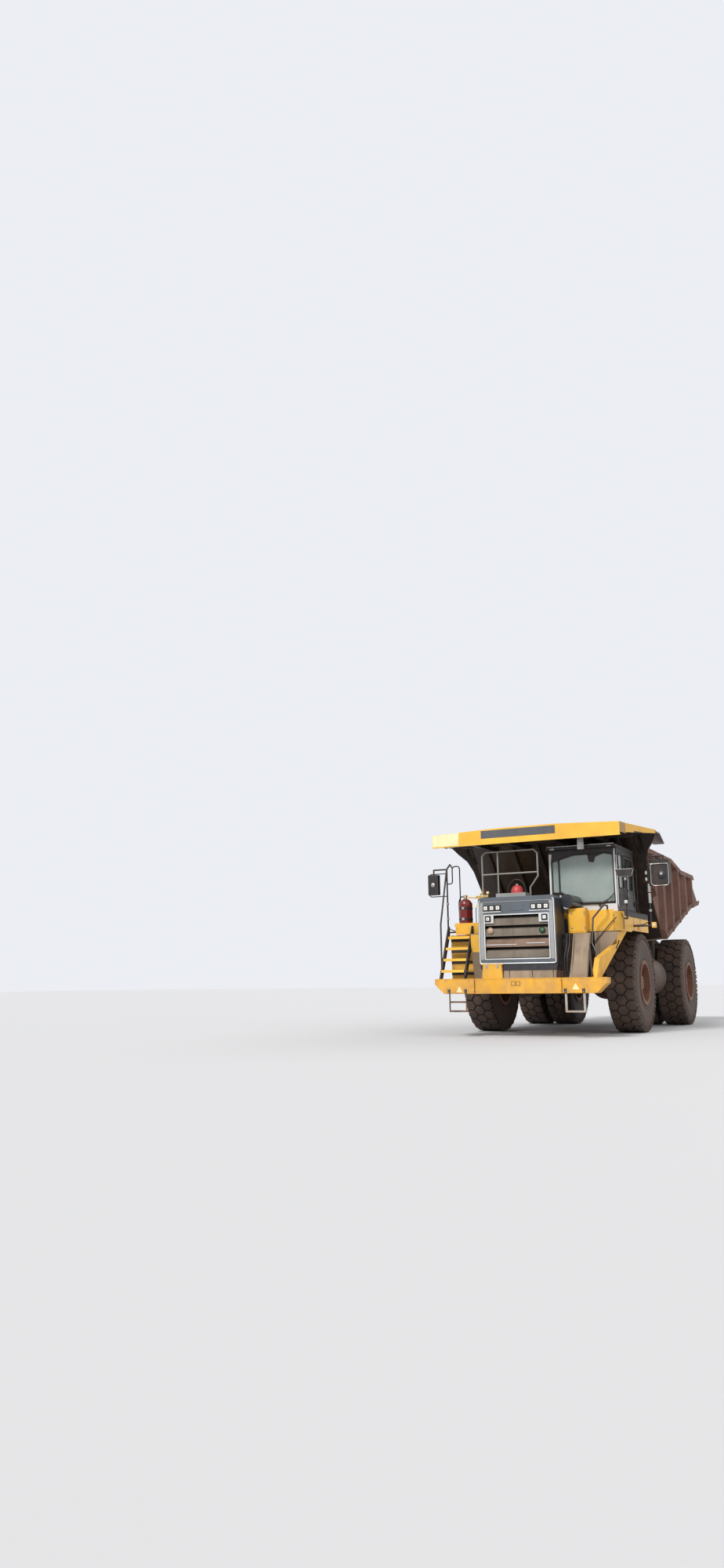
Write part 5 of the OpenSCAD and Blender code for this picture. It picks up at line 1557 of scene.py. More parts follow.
@dataclass
class Decks(Part):
    """Bolts, doors, latches and lamps on the decks, boxes and guard panels."""

    left_z: float = 2.58
    right_z: float = 2.40
    left_face: float = -3.965
    box_face: float = -4.175

    def build(self) -> None:
        """Add the left deck's, the right deck's and the boxes' fittings."""
        piece = Workpiece("deck_fittings", YELLOW, STEEL, DARK, CREAM, AMBER_LENS)
        z, face = self.left_z, self.left_face
        for x in (1.34, 1.60, 1.84):
            for h in (2.21, 2.50):
                piece.bolt((x, face, h), Axis.Y, 0.011, -1, 1)
        for x0, x1, out in ((1.245, 1.252, 0.004), (1.852, 1.860, 0.005)):
            piece.block((x0, face - out, 2.17), (x1, face + 0.004, 2.54), 2, 0.001)
        for y in (-3.60, -3.20, -2.60, -2.10, -1.60):
            piece.bolt((2.0, y, 2.50), Axis.X, 0.011, 1, 1)
        for y in (-2.85, -2.20):
            piece.block((1.996, y - 0.003, 2.22), (2.003, y + 0.003, 2.54), 2, 0.001)
        # Lamp housing under the skirt beside the cab
        piece.block((1.985, -2.44, 2.235), (2.02, -2.20, 2.36), 0, 0.008)
        piece.block((2.018, -2.41, 2.26), (2.026, -2.24, 2.335), 4, 0.004)
        # Toe strip round the left deck
        piece.block((1.26, -3.960, z), (1.86, -3.950, z + 0.035), 0, 0.003)
        piece.block((1.990, -3.70, z), (2.0, -1.42, z + 0.035), 2, 0.003)
        # Right deck: panel bolts and toe strip
        for x in (-1.58, -1.30, -1.05):
            piece.bolt((x, -4.215, 2.32), Axis.Y, 0.011, -1, 1)
        piece.block((-1.64, -4.212, self.right_z), (-0.86, -4.200, self.right_z + 0.03), 0, 0.003)
        for y in (-3.1, -2.4, -1.7):
            piece.bolt((-2.0, y, 2.33), Axis.X, 0.011, -1, 1)
        piece.done(Body.CHASSIS)
        self.boxes()
        self.guards()

    def boxes(self) -> None:
        """Door, hinges and latches of the battery box and the small box on the bumper."""
        piece = Workpiece("box_fittings", YELLOW, STEEL, DARK, BLACK)
        face = self.box_face
        door = rounded_outline(oblong(0.965, 2.165, 1.295, 2.615), 0.02)
        piece.plate(door, Axis.Y, face - 0.010, face + 0.002, 0, 0.004)
        for z in (2.24, 2.54):
            piece.lathe([(0.010, 0.0), (0.010, 0.07)], (1.292, face - 0.014, z - 0.035), Axis.Z, 1, 12)
            piece.lathe([(0.018, 0.0), (0.018, 0.010), (0.0, 0.012)], (1.02, face - 0.010, z), Axis.Y, 1, 20, -1)
        for z in (2.20, 2.40, 2.58):
            piece.bolt((1.31, -4.10, z), Axis.X, 0.008, 1, 1)
        piece.block((0.905, face + 0.05, 2.648), (1.314, face + 0.205, 2.657), 0, 0.003)
        # Small box on the bumper: lid with a lip and two latches
        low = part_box("equipment_boxes")[0]
        piece.plate([(-0.800, 1.492), (-0.320, 1.492), (-0.325, 1.512), (-0.795, 1.512)],
                    Axis.Y, low.y - 0.004, low.y + 0.07, 0, 0.004)
        for x in (-0.68, -0.43):
            piece.block((x - 0.02, low.y - 0.010, 1.43), (x + 0.02, low.y + 0.002, 1.50), 1, 0.003)
        piece.done(Body.CHASSIS)

    def guards(self) -> None:
        """Bowed tan panel's stiffeners, dark pipes and a painted shade plate in the gap beside the grille, and the
        plate behind the leg.
        """
        piece = Workpiece("guard_fittings", TAN, DARK, STEEL, BLACK, YELLOW)
        for route, r in (([(1.92, -4.0, 2.44), (1.841, -4.0, 2.378), (1.431, -4.02, 1.929)], 0.011),
                         ([(1.33, -3.985, 2.155), (1.99, -3.985, 2.155)], 0.013),
                         ([(1.317, -4.02, 2.165), (1.34, -4.10, 2.05), (1.56, -4.80, 1.24)], 0.020),
                         ([(1.911, -3.75, 2.732), (1.93, -3.77, 2.62), (2.012, -3.76, 2.45), (2.012, -3.75, 2.20)],
                          0.008)):
            piece.tube(route, r, 1, 0.05, 10)
        piece.plate([(1.866, 1.79), (1.890, 1.79), (1.960, 1.965), (1.932, 1.965)], Axis.Y, -3.998, -3.990, 3, 0.002)
        piece.plate([(-1.150, 1.78), (-0.853, 1.78), (-0.853, 2.155), (-1.190, 2.155), (-1.190, 1.93)],
                    Axis.Y, -4.421, -4.412, 4, 0.002)
        for x in (1.05, 1.38):
            piece.tube([(x, -4.56, 1.235), (x, -4.39, 1.66), (x, -4.19, 2.11)], 0.014, 0, 0.10, 8)
        # Dark plate in the gap beside the grille: painted shade
        piece.plate(oblong(0.86, 1.24, 1.015, 2.12), Axis.Y, -4.25, -4.235, 1, 0.003)
        for x, y in ((0.905, -4.50), (0.955, -4.46)):
            piece.tube([(x, y, 1.21), (x, y, 1.60), (x + 0.03, y + 0.12, 1.90), (x + 0.03, y + 0.18, 2.13)],
                       0.016, 3, 0.08, 10)
        piece.plate([(1.43, 1.60), (1.50, 1.44), (1.92, 2.05), (1.92, 2.165), (1.43, 2.165)],
                    Axis.Y, -3.995, -3.985, 0, 0.003)
        for x, z in ((1.47, 2.12), (1.88, 2.12), (1.52, 1.55), (1.70, 1.80)):
            piece.bolt((x, -3.995, z), Axis.Y, 0.010, -1, 2)
        for x in (-0.70, -0.2, 0.3, 0.75):
            piece.block((x - 0.004, -4.80, 1.215), (x + 0.004, -4.76, 1.37), 1, 0.001)
        piece.done(Body.CHASSIS)


@dataclass
class Stairs(Part):
    """Grip strips and nosings on the treads, a yellow back plate with a painted shadow under each tread, and bolts."""

    foot: float = 1.21
    rise: float = 0.2425
    going: float = 0.62 - 0.06
    steps: int = 4

    def build(self) -> None:
        """Add the strips and plates of each tread."""
        low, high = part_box("stairs")
        piece = Workpiece("stair_fittings", YELLOW_CLEAN, DARK, STEEL, YELLOW)
        for k in range(self.steps):
            y = low.y + 0.06 + self.going * k / self.steps
            z = self.foot + 0.6 * self.rise + self.rise * k + 0.04
            piece.block((-1.758, y - 0.008, z - 0.045), (-1.232, y + 0.008, z + 0.010), 0, 0.004)
            piece.block((-1.758, y, z - 0.004), (-1.232, y + 0.188, z + 0.003), 3, 0.001)
            for j in range(4):
                piece.block((-1.75, y + 0.030 + 0.042 * j, z - 0.002), (-1.24, y + 0.046 + 0.042 * j, z + 0.007),
                            0, 0.002)
            # Painted shadow: a dark strip on the back plate under each tread
            piece.block((-1.757, high.y - 0.018, z - 0.10), (-1.233, high.y - 0.008, z - 0.035), 1, 0.002)
            for x in (-1.792, -1.198):
                for j in (0.05, 0.14):
                    piece.bolt((x, y + j, z - 0.02), Axis.X, 0.009, -1 if x < -1.5 else 1, 2)
        piece.plate(oblong(-1.755, 1.215, -1.235, 2.17), Axis.Y, high.y - 0.012, high.y - 0.002, 3, 0.002)
        piece.done(Body.CHASSIS)


@dataclass
class Suppressant(Part):
    """Valve, gauge, straps and hoses of the red bottle, and the brass fittings beside it."""

    x: float = -1.455
    y: float = -4.005
    foot: float = 2.40
    radius: float = 0.15

    def build(self) -> None:
        """Add the fittings."""
        x, y, z, r = self.x, self.y, self.foot, self.radius
        piece = Workpiece("bottle_fittings", BRASS, STEEL, BLACK, RED, YELLOW, CREAM)
        piece.lathe([(0.055, 0.56), (0.055, 0.575), (0.036, 0.580), (0.036, 0.62), (0.048, 0.625), (0.048, 0.66),
                     (0.0, 0.665)],
                    (x, y, z), Axis.Z, 0, 24)
        piece.tube([(x, y, z + 0.61), (x - 0.10, y - 0.02, z + 0.64), (x - 0.17, y + 0.03, z + 0.52),
                    (x - 0.17, y + 0.05, z)],
                   0.014, 2, 0.06, 10)
        piece.tube([(x + 0.04, y, z + 0.61), (x + 0.20, y + 0.02, z + 0.60), (x + 0.42, y + 0.06, z + 0.56),
                    (x + 0.60, y + 0.10, z + 0.50)], 0.013, 4, 0.08, 10)
        piece.lathe([(0.030, 0.0), (0.030, 0.018), (0.024, 0.022), (0.0, 0.022)], (x + 0.01, y - 0.048, z + 0.60),
                    Axis.Y, 1, 24, -1)
        for h in (0.10, 0.34):
            piece.lathe(oblong(r + 0.001, 0.0, r + 0.006, 0.045), (x, y, z + h), Axis.Z, 2, 48)
            piece.block((x - 0.03, y - r - 0.022, z + h - 0.004), (x + 0.03, y - r - 0.003, z + h + 0.049), 1, 0.003)
        piece.block((x - 0.10, y + r, z), (x + 0.10, y + r + 0.012, z + 0.50), 4, 0.004)
        for px in (-1.041, -0.880):
            piece.tube([(px, -4.10, 2.40), (px, -4.10, 3.06)], 0.011, 2, 0.02, 8)
            piece.lathe([(0.0, -0.035), (0.022, -0.028), (0.034, -0.010), (0.034, 0.010), (0.022, 0.028), (0.0, 0.035)],
                        (px, -4.10, 3.08), Axis.Z, 5, 20)
        piece.block((-1.16, -4.125, 2.985), (-0.862, -4.085, 3.03), 0, 0.008)
        piece.block((-1.19, -4.16, 2.76), (-1.13, -4.14, 2.83), 5, 0.004)
        piece.tube([(-1.16, -4.13, 2.40), (-1.16, -4.13, 2.80)], 0.010, 2, 0.02, 8)
        piece.done(Body.CHASSIS)


@dataclass
class HoodTop(Part):
    """Tray with a red domed reservoir and its hose, and the hood's latches, hinges and slots."""

    def build(self) -> None:
        """Add the tray and the hood's fittings."""
        piece = Workpiece("hood_tray", GREY, ROSE, BLACK, STEEL)
        x0, x1, y0, y1, z0 = -0.64, 0.055, -4.26, -3.96, 2.888
        piece.block((x0, y0, z0 + 0.06), (x1, y1, z0 + 0.075), 0, 0.004)
        for a, b in (((x0, y0), (x1, y0 + 0.012)), ((x0, y1 - 0.012), (x1, y1)),
                     ((x0, y0), (x0 + 0.012, y1)), ((x1 - 0.012, y0), (x1, y1))):
            piece.block((*a, z0 + 0.06), (*b, z0 + 0.15), 0, 0.003)
        dome = (-0.19, -4.11, z0 + 0.075)
        for x in (x0 + 0.06, x1 - 0.10):
            piece.block((x, y0 + 0.03, z0 - 0.01), (x + 0.04, y1 - 0.03, z0 + 0.062), 0, 0.003)
        piece.lathe([(0.135, 0.0), (0.140, 0.05), (0.134, 0.12), (0.118, 0.18), (0.092, 0.220), (0.055, 0.242),
                     (0.0, 0.250)],
                    dome, Axis.Z, 1, 40)
        piece.lathe([(0.030, 0.245), (0.030, 0.275), (0.0, 0.280)], dome, Axis.Z, 3, 20)
        piece.tube([(-0.40, -4.11, z0 + 0.07), (-0.40, -4.11, z0 + 0.30), (-0.27, -4.11, z0 + 0.45),
                    (-0.13, -4.11, z0 + 0.45), (-0.02, -4.10, z0 + 0.34), (0.0, -4.08, z0 + 0.08)], 0.012, 2, 0.10, 10)
        piece.done(Body.CHASSIS)
        latches = Workpiece("hood_fittings", BLACK, STEEL)
        for y in (-3.9, -3.2, -2.6):
            latches.block((-0.846, y - 0.03, 2.62), (-0.836, y + 0.03, 2.72), 1, 0.004)
            latches.lathe([(0.010, 0.0), (0.010, 0.12)], (-0.842, y - 0.06, 2.60), Axis.Y, 0, 12)
        for k in range(6):
            latches.plate([(-3.8 + 0.16 * k, 2.20), (-3.73 + 0.16 * k, 2.20), (-3.70 + 0.16 * k, 2.52),
                           (-3.77 + 0.16 * k, 2.52)],
                          Axis.X, -0.846, -0.838, 0, 0.002)
        latches.done(Body.CHASSIS)


@dataclass
class Mirrors(Part):
    """Mirror glass, guard tubes, clamps and the small lamps on the posts."""

    post: float = 2.38
    glass: float = 2.72
    y: float = -2.845

    def build(self) -> None:
        """Add both sides, then the small mirror and the lamps of the left post."""
        piece = Workpiece("mirror_fittings", BLACK, MIRROR, STEEL, AMBER_LENS, LENS, YELLOW)
        y, post = self.y, self.post
        for side in (-1, 1):
            x = side * self.glass
            piece.frame_plate(rounded_outline(oblong(x - 0.13, 3.20, x + 0.13, 3.68), 0.03),
                              rounded_outline(oblong(x - 0.11, 3.22, x + 0.11, 3.66), 0.025),
                              Axis.Y, y + 0.050, y + 0.070, 0, 0.003)
            for z, tall in ((3.52, 0.13), (3.29, 0.065)):
                piece.plate(square(x, z, 0.11, tall), Axis.Y, y + 0.055, y + 0.066, 1, 0.002)
            piece.lathe([(0.05, 0.0), (0.05, 0.012), (0.03, 0.020), (0.0, 0.022)], (x, y - 0.06, 3.44),
                        Axis.Y, 2, 24, -1)
            for z in (2.60, 2.95):
                piece.lathe([(0.032, 0.0), (0.032, 0.05)], (side * post, y, z), Axis.Z, 2, 16)
            piece.tube([(side * post, y, 3.70), (side * 2.50, y - 0.02, 3.70), (side * 2.825, y - 0.02, 3.70),
                        (side * 2.825, y - 0.02, 3.16), (side * 2.50, y - 0.02, 3.16), (side * post, y, 3.16)],
                       0.012, 0, 0.06, 10)
            piece.tube([(side * post, y, 2.40), (side * 2.20, y + 0.02, 2.32), (side * 2.0, y + 0.02, 2.32)],
                       0.011, 0, 0.05, 10)
        # Wide guard of the left mirror, with a round convex glass in it
        piece.plate(rounded_outline(oblong(2.49, 3.18, 2.842, 3.72), 0.03), Axis.Y, y - 0.082, y - 0.055, 0, 0.006)
        corners = ((2.455, 3.62), (2.832, 3.62), (2.832, 3.20), (2.800, 3.15), (2.500, 3.15), (2.455, 3.20))
        loop = [(px, y - 0.092, pz) for px, pz in corners]
        piece.tube(loop + [loop[0], loop[1]], 0.010, 2, 0.04, 8)
        piece.lathe([(0.085, 0.0), (0.085, 0.014), (0.070, 0.020), (0.0, 0.026)], (2.68, y - 0.082, 3.38),
                    Axis.Y, 0, 32, -1)
        piece.lathe([(0.034, 0.0), (0.030, 0.010), (0.0, 0.014)], (2.68, y - 0.104, 3.40), Axis.Y, 2, 24, -1)
        for z in (3.17, 3.60):
            piece.block((2.36, y - 0.03, z), (2.50, y, z + 0.03), 0, 0.004)
        # Lamps on the left post, and the yellow one at its foot
        for z in (3.26, 3.40):
            piece.block((2.325, y - 0.05, z), (2.365, y + 0.01, z + 0.085), 2, 0.006)
            piece.lathe([(0.022, 0.0), (0.020, 0.006), (0.0, 0.008)], (2.345, y - 0.05, z + 0.042), Axis.Y, 4, 20, -1)
        piece.block((2.40, y - 0.06, 2.25), (2.49, y + 0.03, 2.37), 5, 0.008)
        piece.lathe([(0.030, 0.0), (0.028, 0.010), (0.0, 0.014)], (2.445, y - 0.06, 2.31), Axis.Y, 4, 20, -1)
        for z0, z1 in ((2.78, 2.99), (3.02, 3.20)):
            piece.lathe([(0.030, z0), (0.036, z0 + 0.01), (0.036, z1 - 0.01), (0.030, z1)], (post, y, 0.0),
                        Axis.Z, 2, 20)
        # Hooped bar on the right post
        piece.tube([(-post, y, 3.45), (-2.24, y, 3.45), (-2.24, y, 3.86), (-2.05, y, 3.86), (-2.05, y, 3.30),
                    (-2.05, y, 2.36)],
                   0.014, 0, 0.08, 10)
        self.small(piece)
        piece.done(Body.CHASSIS)

    def small(self, piece: Workpiece) -> None:
        """Add the small mirror's rim and clamp, and the lamp under it."""
        x = 2.06
        outline = [(x - 0.19, 3.47), (x - 0.14, 3.32), (x + 0.14, 3.32), (x + 0.19, 3.47)]
        piece.plate(rounded_outline(outline, 0.02), Axis.Y, -3.652, -3.640, 1, 0.002)
        route = [(px, -3.666, pz) for px, pz in outline]
        piece.tube(route + [route[0], route[1]], 0.011, 2, 0.03, 8)
        piece.lathe([(0.028, 0.0), (0.028, 0.05)], (x, -3.635, 3.24), Axis.Z, 2, 16)
        piece.block((x - 0.035, -3.69, 2.74), (x + 0.035, -3.645, 2.81), 2, 0.008)
        piece.block((x - 0.040, -3.690, 2.86), (x + 0.018, -3.640, 3.06), 0, 0.012)
        piece.lathe([(0.028, 0.0), (0.026, 0.010), (0.0, 0.014)], (x, -3.69, 2.775), Axis.Y, 4, 20, -1)


@dataclass
class BodyTrim(Part):
    """Pipes and weld beads on the body's sides, and wear strips on its floor."""

    floor_z: float = 2.10
    floor_slope: float = 15.2
    valley: float = 0.200

    def build(self) -> None:
        """Add the sides' trim and the floor's wear strips."""
        piece = Workpiece("bed_side_trim", BED_STEEL, STEEL)
        for side in (-1, 1):
            # Pipe along the top edge of the side
            piece.tube([(side * 2.015, -2.0, 4.155), (side * 2.015, 1.085, 4.155), (side * 2.015, 2.285, 3.97),
                        (side * 2.015, 3.955, 3.97)], 0.022, 0, 0.10, 10)
            for k in range(6):
                y = -1.015 + 0.95 * k
                for offset in (-0.135, 0.135):
                    foot = max(2.35, 2.24 + (y + 0.05) * 0.2717, 2.16 + (0.055 - y - offset) * 0.99)
                    piece.tube([(side * 2.031, y + offset, foot),
                                (side * 2.031, y + offset, 3.93 if y > 1.6 else 4.03)],
                               0.007, 0, 0.02, 6)
        piece.done(Body.BED)
        floor = Workpiece("bed_wear_strips", FLOOR_STEEL)
        rise = math.tan(math.radians(self.floor_slope))
        for x in (-1.5, -1.0, -0.5, 0.0, 0.5, 1.0, 1.5):
            drop = -self.valley * (1 - abs(x) / 2.0)
            points = [(y, self.floor_z + run * rise + drop + over)
                      for y, run, over in ((0.35, 0.295, 0.004), (3.40, 3.345, 0.004),
                                           (3.40, 3.345, 0.022), (0.35, 0.295, 0.022))]
            floor.plate(points, Axis.X, x - 0.05, x + 0.05, 0, 0.004)
        floor.done(Body.BED)


@dataclass
class Underbody(Part):
    """Straps, caps, hoses, bolts and lamps on the chassis, and the hoist's fittings."""

    rear_hub: Flat = (2.285, 1.085)
    kingpin: Flat = (1.15, -1.915)
    barrel: Flat = (0.62, 1.785)
    tank_x: float = 1.42
    tank_z: float = 1.22

    def build(self) -> None:
        """Add the tanks', axles', tail's and hoist's fittings."""
        self.tanks()
        self.axles()
        self.tail()
        self.hoist()

    def tanks(self) -> None:
        """Straps, filler caps, bolted end covers and sight gauges of the tanks."""
        piece = Workpiece("tank_fittings", CAST, BLACK, TANK_SHADE, LENS)
        for side, ends in ((1, (-0.365, 0.885)), (-1, (-0.365, 0.635))):
            x, z, r = side * self.tank_x, self.tank_z, 0.45
            for y in (ends[0] + 0.20, ends[1] - 0.26):
                piece.lathe(oblong(r + 0.001, 0.0, r + 0.008, 0.06), (x, y, z), Axis.Y, 0, 64)
            piece.lathe([(0.075, 0.43), (0.075, 0.47), (0.088, 0.472), (0.088, 0.51), (0.0, 0.52)],
                        (x + side * 0.10, (ends[0] + ends[1]) / 2, z), Axis.Z, 1, 32)
            # End covers in the tanks' near-black painted shade, with their bolts
            for y, out in ((ends[0], -1), (ends[1], 1)):
                piece.lathe([(0.30, -0.002), (0.30, 0.006), (0.285, 0.010), (0.0, 0.012)], (x, y, z),
                            Axis.Y, 2, 48, out)
                for a, b in ring(8, 0.36):
                    piece.bolt((x + a, y, z + b), Axis.Y, 0.012, out, 0)
            piece.tube([(x + side * 0.28, ends[0] - 0.012, z - 0.25), (x + side * 0.28, ends[0] - 0.035, z - 0.20),
                        (x + side * 0.28, ends[0] - 0.035, z + 0.20), (x + side * 0.28, ends[0] - 0.012, z + 0.25)],
                       0.012, 3, 0.03, 10)
        piece.done(Body.CHASSIS)

    def axles(self) -> None:
        """Bolt circles and rings of the rear axle, the rails' hoses and bolts, and the front struts' collars."""
        piece = Workpiece("axle_fittings", CAST, STEEL, BLACK)
        hub_y, hub_z = self.rear_hub
        pin_x, pin_y = self.kingpin
        for side in (-1, 1):
            for a, b in ring(20, 0.275):
                piece.bolt((side * 0.33, hub_y + a, hub_z + b), Axis.X, 0.015, side, 1)
            piece.lathe(oblong(0.20, 0.0, 0.225, 0.05), (side * 0.50, hub_y, hub_z), Axis.X, 0, 48, side)
            piece.tube([(side * 0.32, -0.9, 1.42), (side * 0.32, 0.2, 1.40), (side * 0.30, 1.0, 1.34),
                        (side * 0.25, 1.95, 1.40)],
                       0.018, 2, 0.15, 10)
            # Rails' bolt rows
            for k in range(9):
                piece.bolt((side * 0.48, -2.4 + 0.55 * k, 1.66), Axis.X, 0.014, side, 1)
            # Strut collars and hoses
            piece.lathe([(0.126, 0.0), (0.140, 0.004), (0.140, 0.05), (0.126, 0.054), (0.126, 0.0)],
                        (side * pin_x, pin_y, 1.30), Axis.Z, 1, 40)
            piece.tube([(side * 1.15, -1.79, 2.00), (side * 1.13, -1.70, 2.08), (side * 0.80, -1.62, 1.95),
                        (side * 0.50, -1.62, 1.72)],
                       0.013, 2, 0.08, 10)
        piece.done(Body.CHASSIS)

    def tail(self) -> None:
        """Lamp bar with red and amber lamps at the end of the rails."""
        piece = Workpiece("tail_lamps", CHASSIS, RED_LENS, AMBER_LENS, LENS, BLACK)
        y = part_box("frame")[1].y
        for side in (-1, 1):
            x = side * 0.42
            piece.block((x - 0.12, y - 0.12, 1.36), (x + 0.12, y - 0.06, 1.50), 0, 0.008)
            for k, lens in ((-0.07, 1), (0.0, 2), (0.07, 3)):
                piece.lathe([(0.030, 0.0), (0.034, 0.004), (0.034, 0.014), (0.028, 0.018)], (x + k, y - 0.06, 1.43),
                            Axis.Y, 4, 24)
                piece.lathe([(0.028, 0.008), (0.020, 0.018), (0.0, 0.022)], (x + k, y - 0.06, 1.43), Axis.Y, lens, 24)
        piece.done(Body.CHASSIS)

    def hoist(self) -> None:
        """Gland nuts, rings and hoses of the hoist's barrels."""
        low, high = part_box("hoist_barrels")
        piece = Workpiece("hoist_fittings", CAST, STEEL, BLACK)
        for side in (-1, 1):
            x, y = side * self.barrel[0], self.barrel[1]
            piece.lathe([(0.104, -0.10), (0.118, -0.095), (0.118, -0.02), (0.106, 0.005), (0.063, 0.005),
                         (0.063, 0.001), (0.104, 0.001), (0.104, -0.10)],
                        (x, y, high.z), Axis.Z, 1, 40)
            piece.lathe([(0.103, 0.10), (0.110, 0.104), (0.110, 0.16), (0.103, 0.165), (0.103, 0.10)],
                        (x, y, low.z + 0.10), Axis.Z, 0, 40)
            piece.tube([(x + side * 0.05, y - 0.09, high.z - 0.16), (x + side * 0.05, y - 0.135, high.z - 0.20),
                        (x + side * 0.05, y - 0.135, low.z + 0.52), (x + side * 0.05, y - 0.09, low.z + 0.48)],
                       0.012, 2, 0.03, 10)
        piece.done(Body.BARRELS)


# The picture

@dataclass
class Studio:
    """Floor, light and camera."""

    camera_at: Point = (7.293, -25.744, 1.182)
    yaw: float = -27.54
    pitch: float = 10.82
    roll: float = -0.693
    focal_px: float = 1318.6
    long_side_px: float = 2000.0
    sensor: float = 36.0
    floor_half: float = 150.0

    def build(self) -> None:
        """Set the camera, lamps, world and floor."""
        self.camera()
        self.sun("key", (-2.0, -14.0, 13.0), 14.0, 2.7)
        self.sun("fill", (14.0, -9.0, 9.0), 60.0, 0.55)
        self.sun("back", (6.0, 16.0, 12.0), 40.0, 0.7)
        self.world()
        self.floor()
        bpy.context.scene.view_settings.view_transform = "Standard"

    def camera(self) -> None:
        """Place the camera at the photograph's viewpoint."""
        yaw, pitch, roll = (math.radians(a) for a in (self.yaw, self.pitch, self.roll))
        ahead = Vector((math.sin(yaw) * math.cos(pitch), math.cos(yaw) * math.cos(pitch), math.sin(pitch)))
        right = Vector((math.cos(yaw), -math.sin(yaw), 0.0))
        up = right.cross(ahead)
        across = right * math.cos(roll) + up * math.sin(roll)
        upward = up * math.cos(roll) - right * math.sin(roll)
        data = bpy.data.cameras.new("camera")
        data.sensor_width = self.sensor
        data.lens = self.focal_px / self.long_side_px * self.sensor
        data.clip_end = 400.0
        camera = bpy.data.objects.new("camera", data)
        bpy.context.scene.collection.objects.link(camera)
        turned = Matrix((across, upward, -ahead)).transposed().to_4x4()
        camera.matrix_world = Matrix.Translation(self.camera_at) @ turned
        bpy.context.scene.camera = camera

    def sun(self, name: str, at: Point, spread: float, power: float) -> None:
        """Add a wide, soft lamp that is the same over the whole floor.

        Args:
            name: Name of the lamp.
            at: The side it shines from.
            spread: Its width in degrees.
            power: Its strength.
        """
        data = bpy.data.lights.new(name, "SUN")
        data.angle = math.radians(spread)
        data.energy = power
        lamp = bpy.data.objects.new(name, data)
        lamp.rotation_euler = (-Vector(at)).to_track_quat("-Z", "Y").to_euler()
        bpy.context.scene.collection.objects.link(lamp)

    def world(self) -> None:
        """A plain pale surround, brighter where the camera and reflections see it."""
        world = bpy.data.worlds.new("surround")
        bpy.context.scene.world = world
        world.use_nodes = True
        tree = world.node_tree
        back = tree.nodes["Background"]
        back.inputs["Color"].default_value = (0.93, 0.95, 1.0, 1.0)
        rays = tree.nodes.new("ShaderNodeLightPath")
        seen = None
        for name in ("Is Glossy Ray", "Is Transmission Ray"):
            either = tree.nodes.new("ShaderNodeMath")
            either.operation = "MAXIMUM"
            tree.links.new(seen or rays.outputs["Is Camera Ray"], either.inputs[0])
            tree.links.new(rays.outputs[name], either.inputs[1])
            seen = either.outputs[0]
        level = tree.nodes.new("ShaderNodeMapRange")
        level.inputs["To Min"].default_value = 0.62
        level.inputs["To Max"].default_value = 0.90
        tree.links.new(seen, level.inputs["Value"])
        tree.links.new(level.outputs["Result"], back.inputs["Strength"])

    def floor(self) -> None:
        """A wide pale floor."""
        mesh = bpy.data.meshes.new("floor")
        r = self.floor_half
        mesh.from_pydata([(-r, -r, 0), (r, -r, 0), (r, r, 0), (-r, r, 0)], [], [(0, 1, 2, 3)])
        floor = bpy.data.objects.new("floor", mesh)
        bpy.context.scene.collection.objects.link(floor)
        sheet = Sheet("pale_floor")
        sheet.shader.inputs["Base Color"].default_value = (0.56, 0.555, 0.55, 1.0)
        sheet.shader.inputs["Roughness"].default_value = 0.9
        mesh.materials.append(sheet.material)


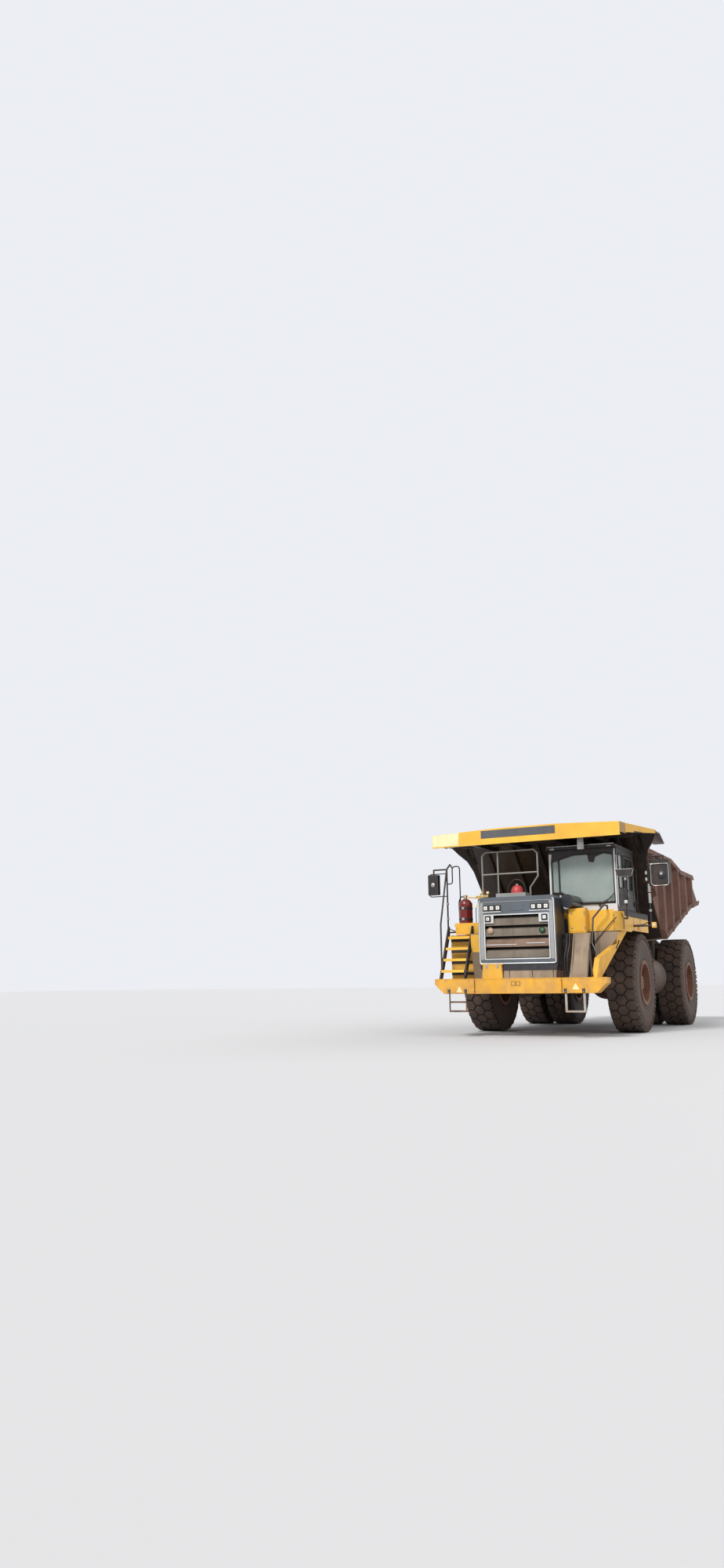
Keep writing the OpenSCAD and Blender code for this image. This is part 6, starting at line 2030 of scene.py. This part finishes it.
CAD_DRESS = [DressedNode(*row) for row in (
    ("frame", CHASSIS), ("bumper", YELLOW_LOW, 0.010), ("step_hangers", HANGER, 0.003), ("front_guard", TAN, 0.003),
    ("strut_housings", CAST), ("knuckle_left", CAST), ("knuckle_right", CAST), ("tie_rod", CAST, 0.003),
    ("rim_front_left", RIM), ("rim_front_right", RIM), ("rear_axle", CHASSIS), ("rear_struts", CHROME, 0.003),
    ("rims_rear_left", RIM), ("rims_rear_right", RIM), ("engine", CAST, 0.015), ("transmission", CAST, 0.015),
    ("driveshaft", CAST), ("radiator", BLACK, 0.004), ("hood", CHARCOAL, 0.012), ("air_cleaners", CHARCOAL),
    # stairs: dark steel as painted shade on the stringers
    ("deck_left", YELLOW), ("deck_right", YELLOW), ("stairs", DARK, 0.003), ("handrails", RAIL, 0.0),
    ("cab_shell", BLACK, 0.010), ("cab_roof", BLACK, 0.015), ("cab_door", BLACK, 0.006),
    ("door_glass", SIDE_WINDOW, 0.0), ("cab_glass", WINDOW, 0.0), ("cab_console", PLASTIC),
    ("equipment_boxes", YELLOW, 0.012), ("suppressant_bottle", RED, 0.0), ("mirrors", BLACK, 0.006),
    ("bed_floor", FLOOR_STEEL), ("bed_sides", BED_STEEL, 0.008), ("bed_front", CANOPY, 0.006),
    # tanks: their near-black colour is painted shade
    ("bed_beams", BED_STEEL), ("hoist_barrels", CHASSIS), ("hoist_rods", CHROME, 0.003), ("tanks", TANK_SHADE, 0.012),
    ("rock_ejectors", CAST),
)]


def parts() -> List[Part]:
    """The truck's sub-assemblies, in the order in which they are built."""
    return [
        TyreSet("tyre_front_left", Body.WHEEL_FL, (1.66,)),
        TyreSet("tyre_front_right", Body.WHEEL_FR, (-1.66,)),
        TyreSet("tyres_rear_left", Body.WHEELS_RL, (1.08, 1.85)),
        TyreSet("tyres_rear_right", Body.WHEELS_RR, (-1.08, -1.85)),
        WheelFittings("rim_front_left", Body.WHEEL_FL, 1.0, 0.241, 0.106, 0.15),
        WheelFittings("rim_front_right", Body.WHEEL_FR, -1.0, 0.241, 0.106, 0.15),
        WheelFittings("rims_rear_left", Body.WHEELS_RL, 1.0, 0.591, 0.131, 0.25, 0.36),
        WheelFittings("rims_rear_right", Body.WHEELS_RR, -1.0, 0.591, 0.131, 0.25, 0.36),
        Grille(), Bumper(), HoodTop(), Decks(), Stairs(), Suppressant(),
        CabFront(), CabSides(), Seat(), Mirrors(), Canopy(), BodyTrim(), Underbody(),
    ]


def main() -> None:
    """Build the picture: studio, CAD nodes, then each sub-assembly."""
    logging.basicConfig(level=logging.INFO, format="%(name)s: %(message)s")
    Studio().build()
    for node in CAD_DRESS:
        node.build()
    for part in parts():
        part.build()


if __name__ == "__main__":
    main()
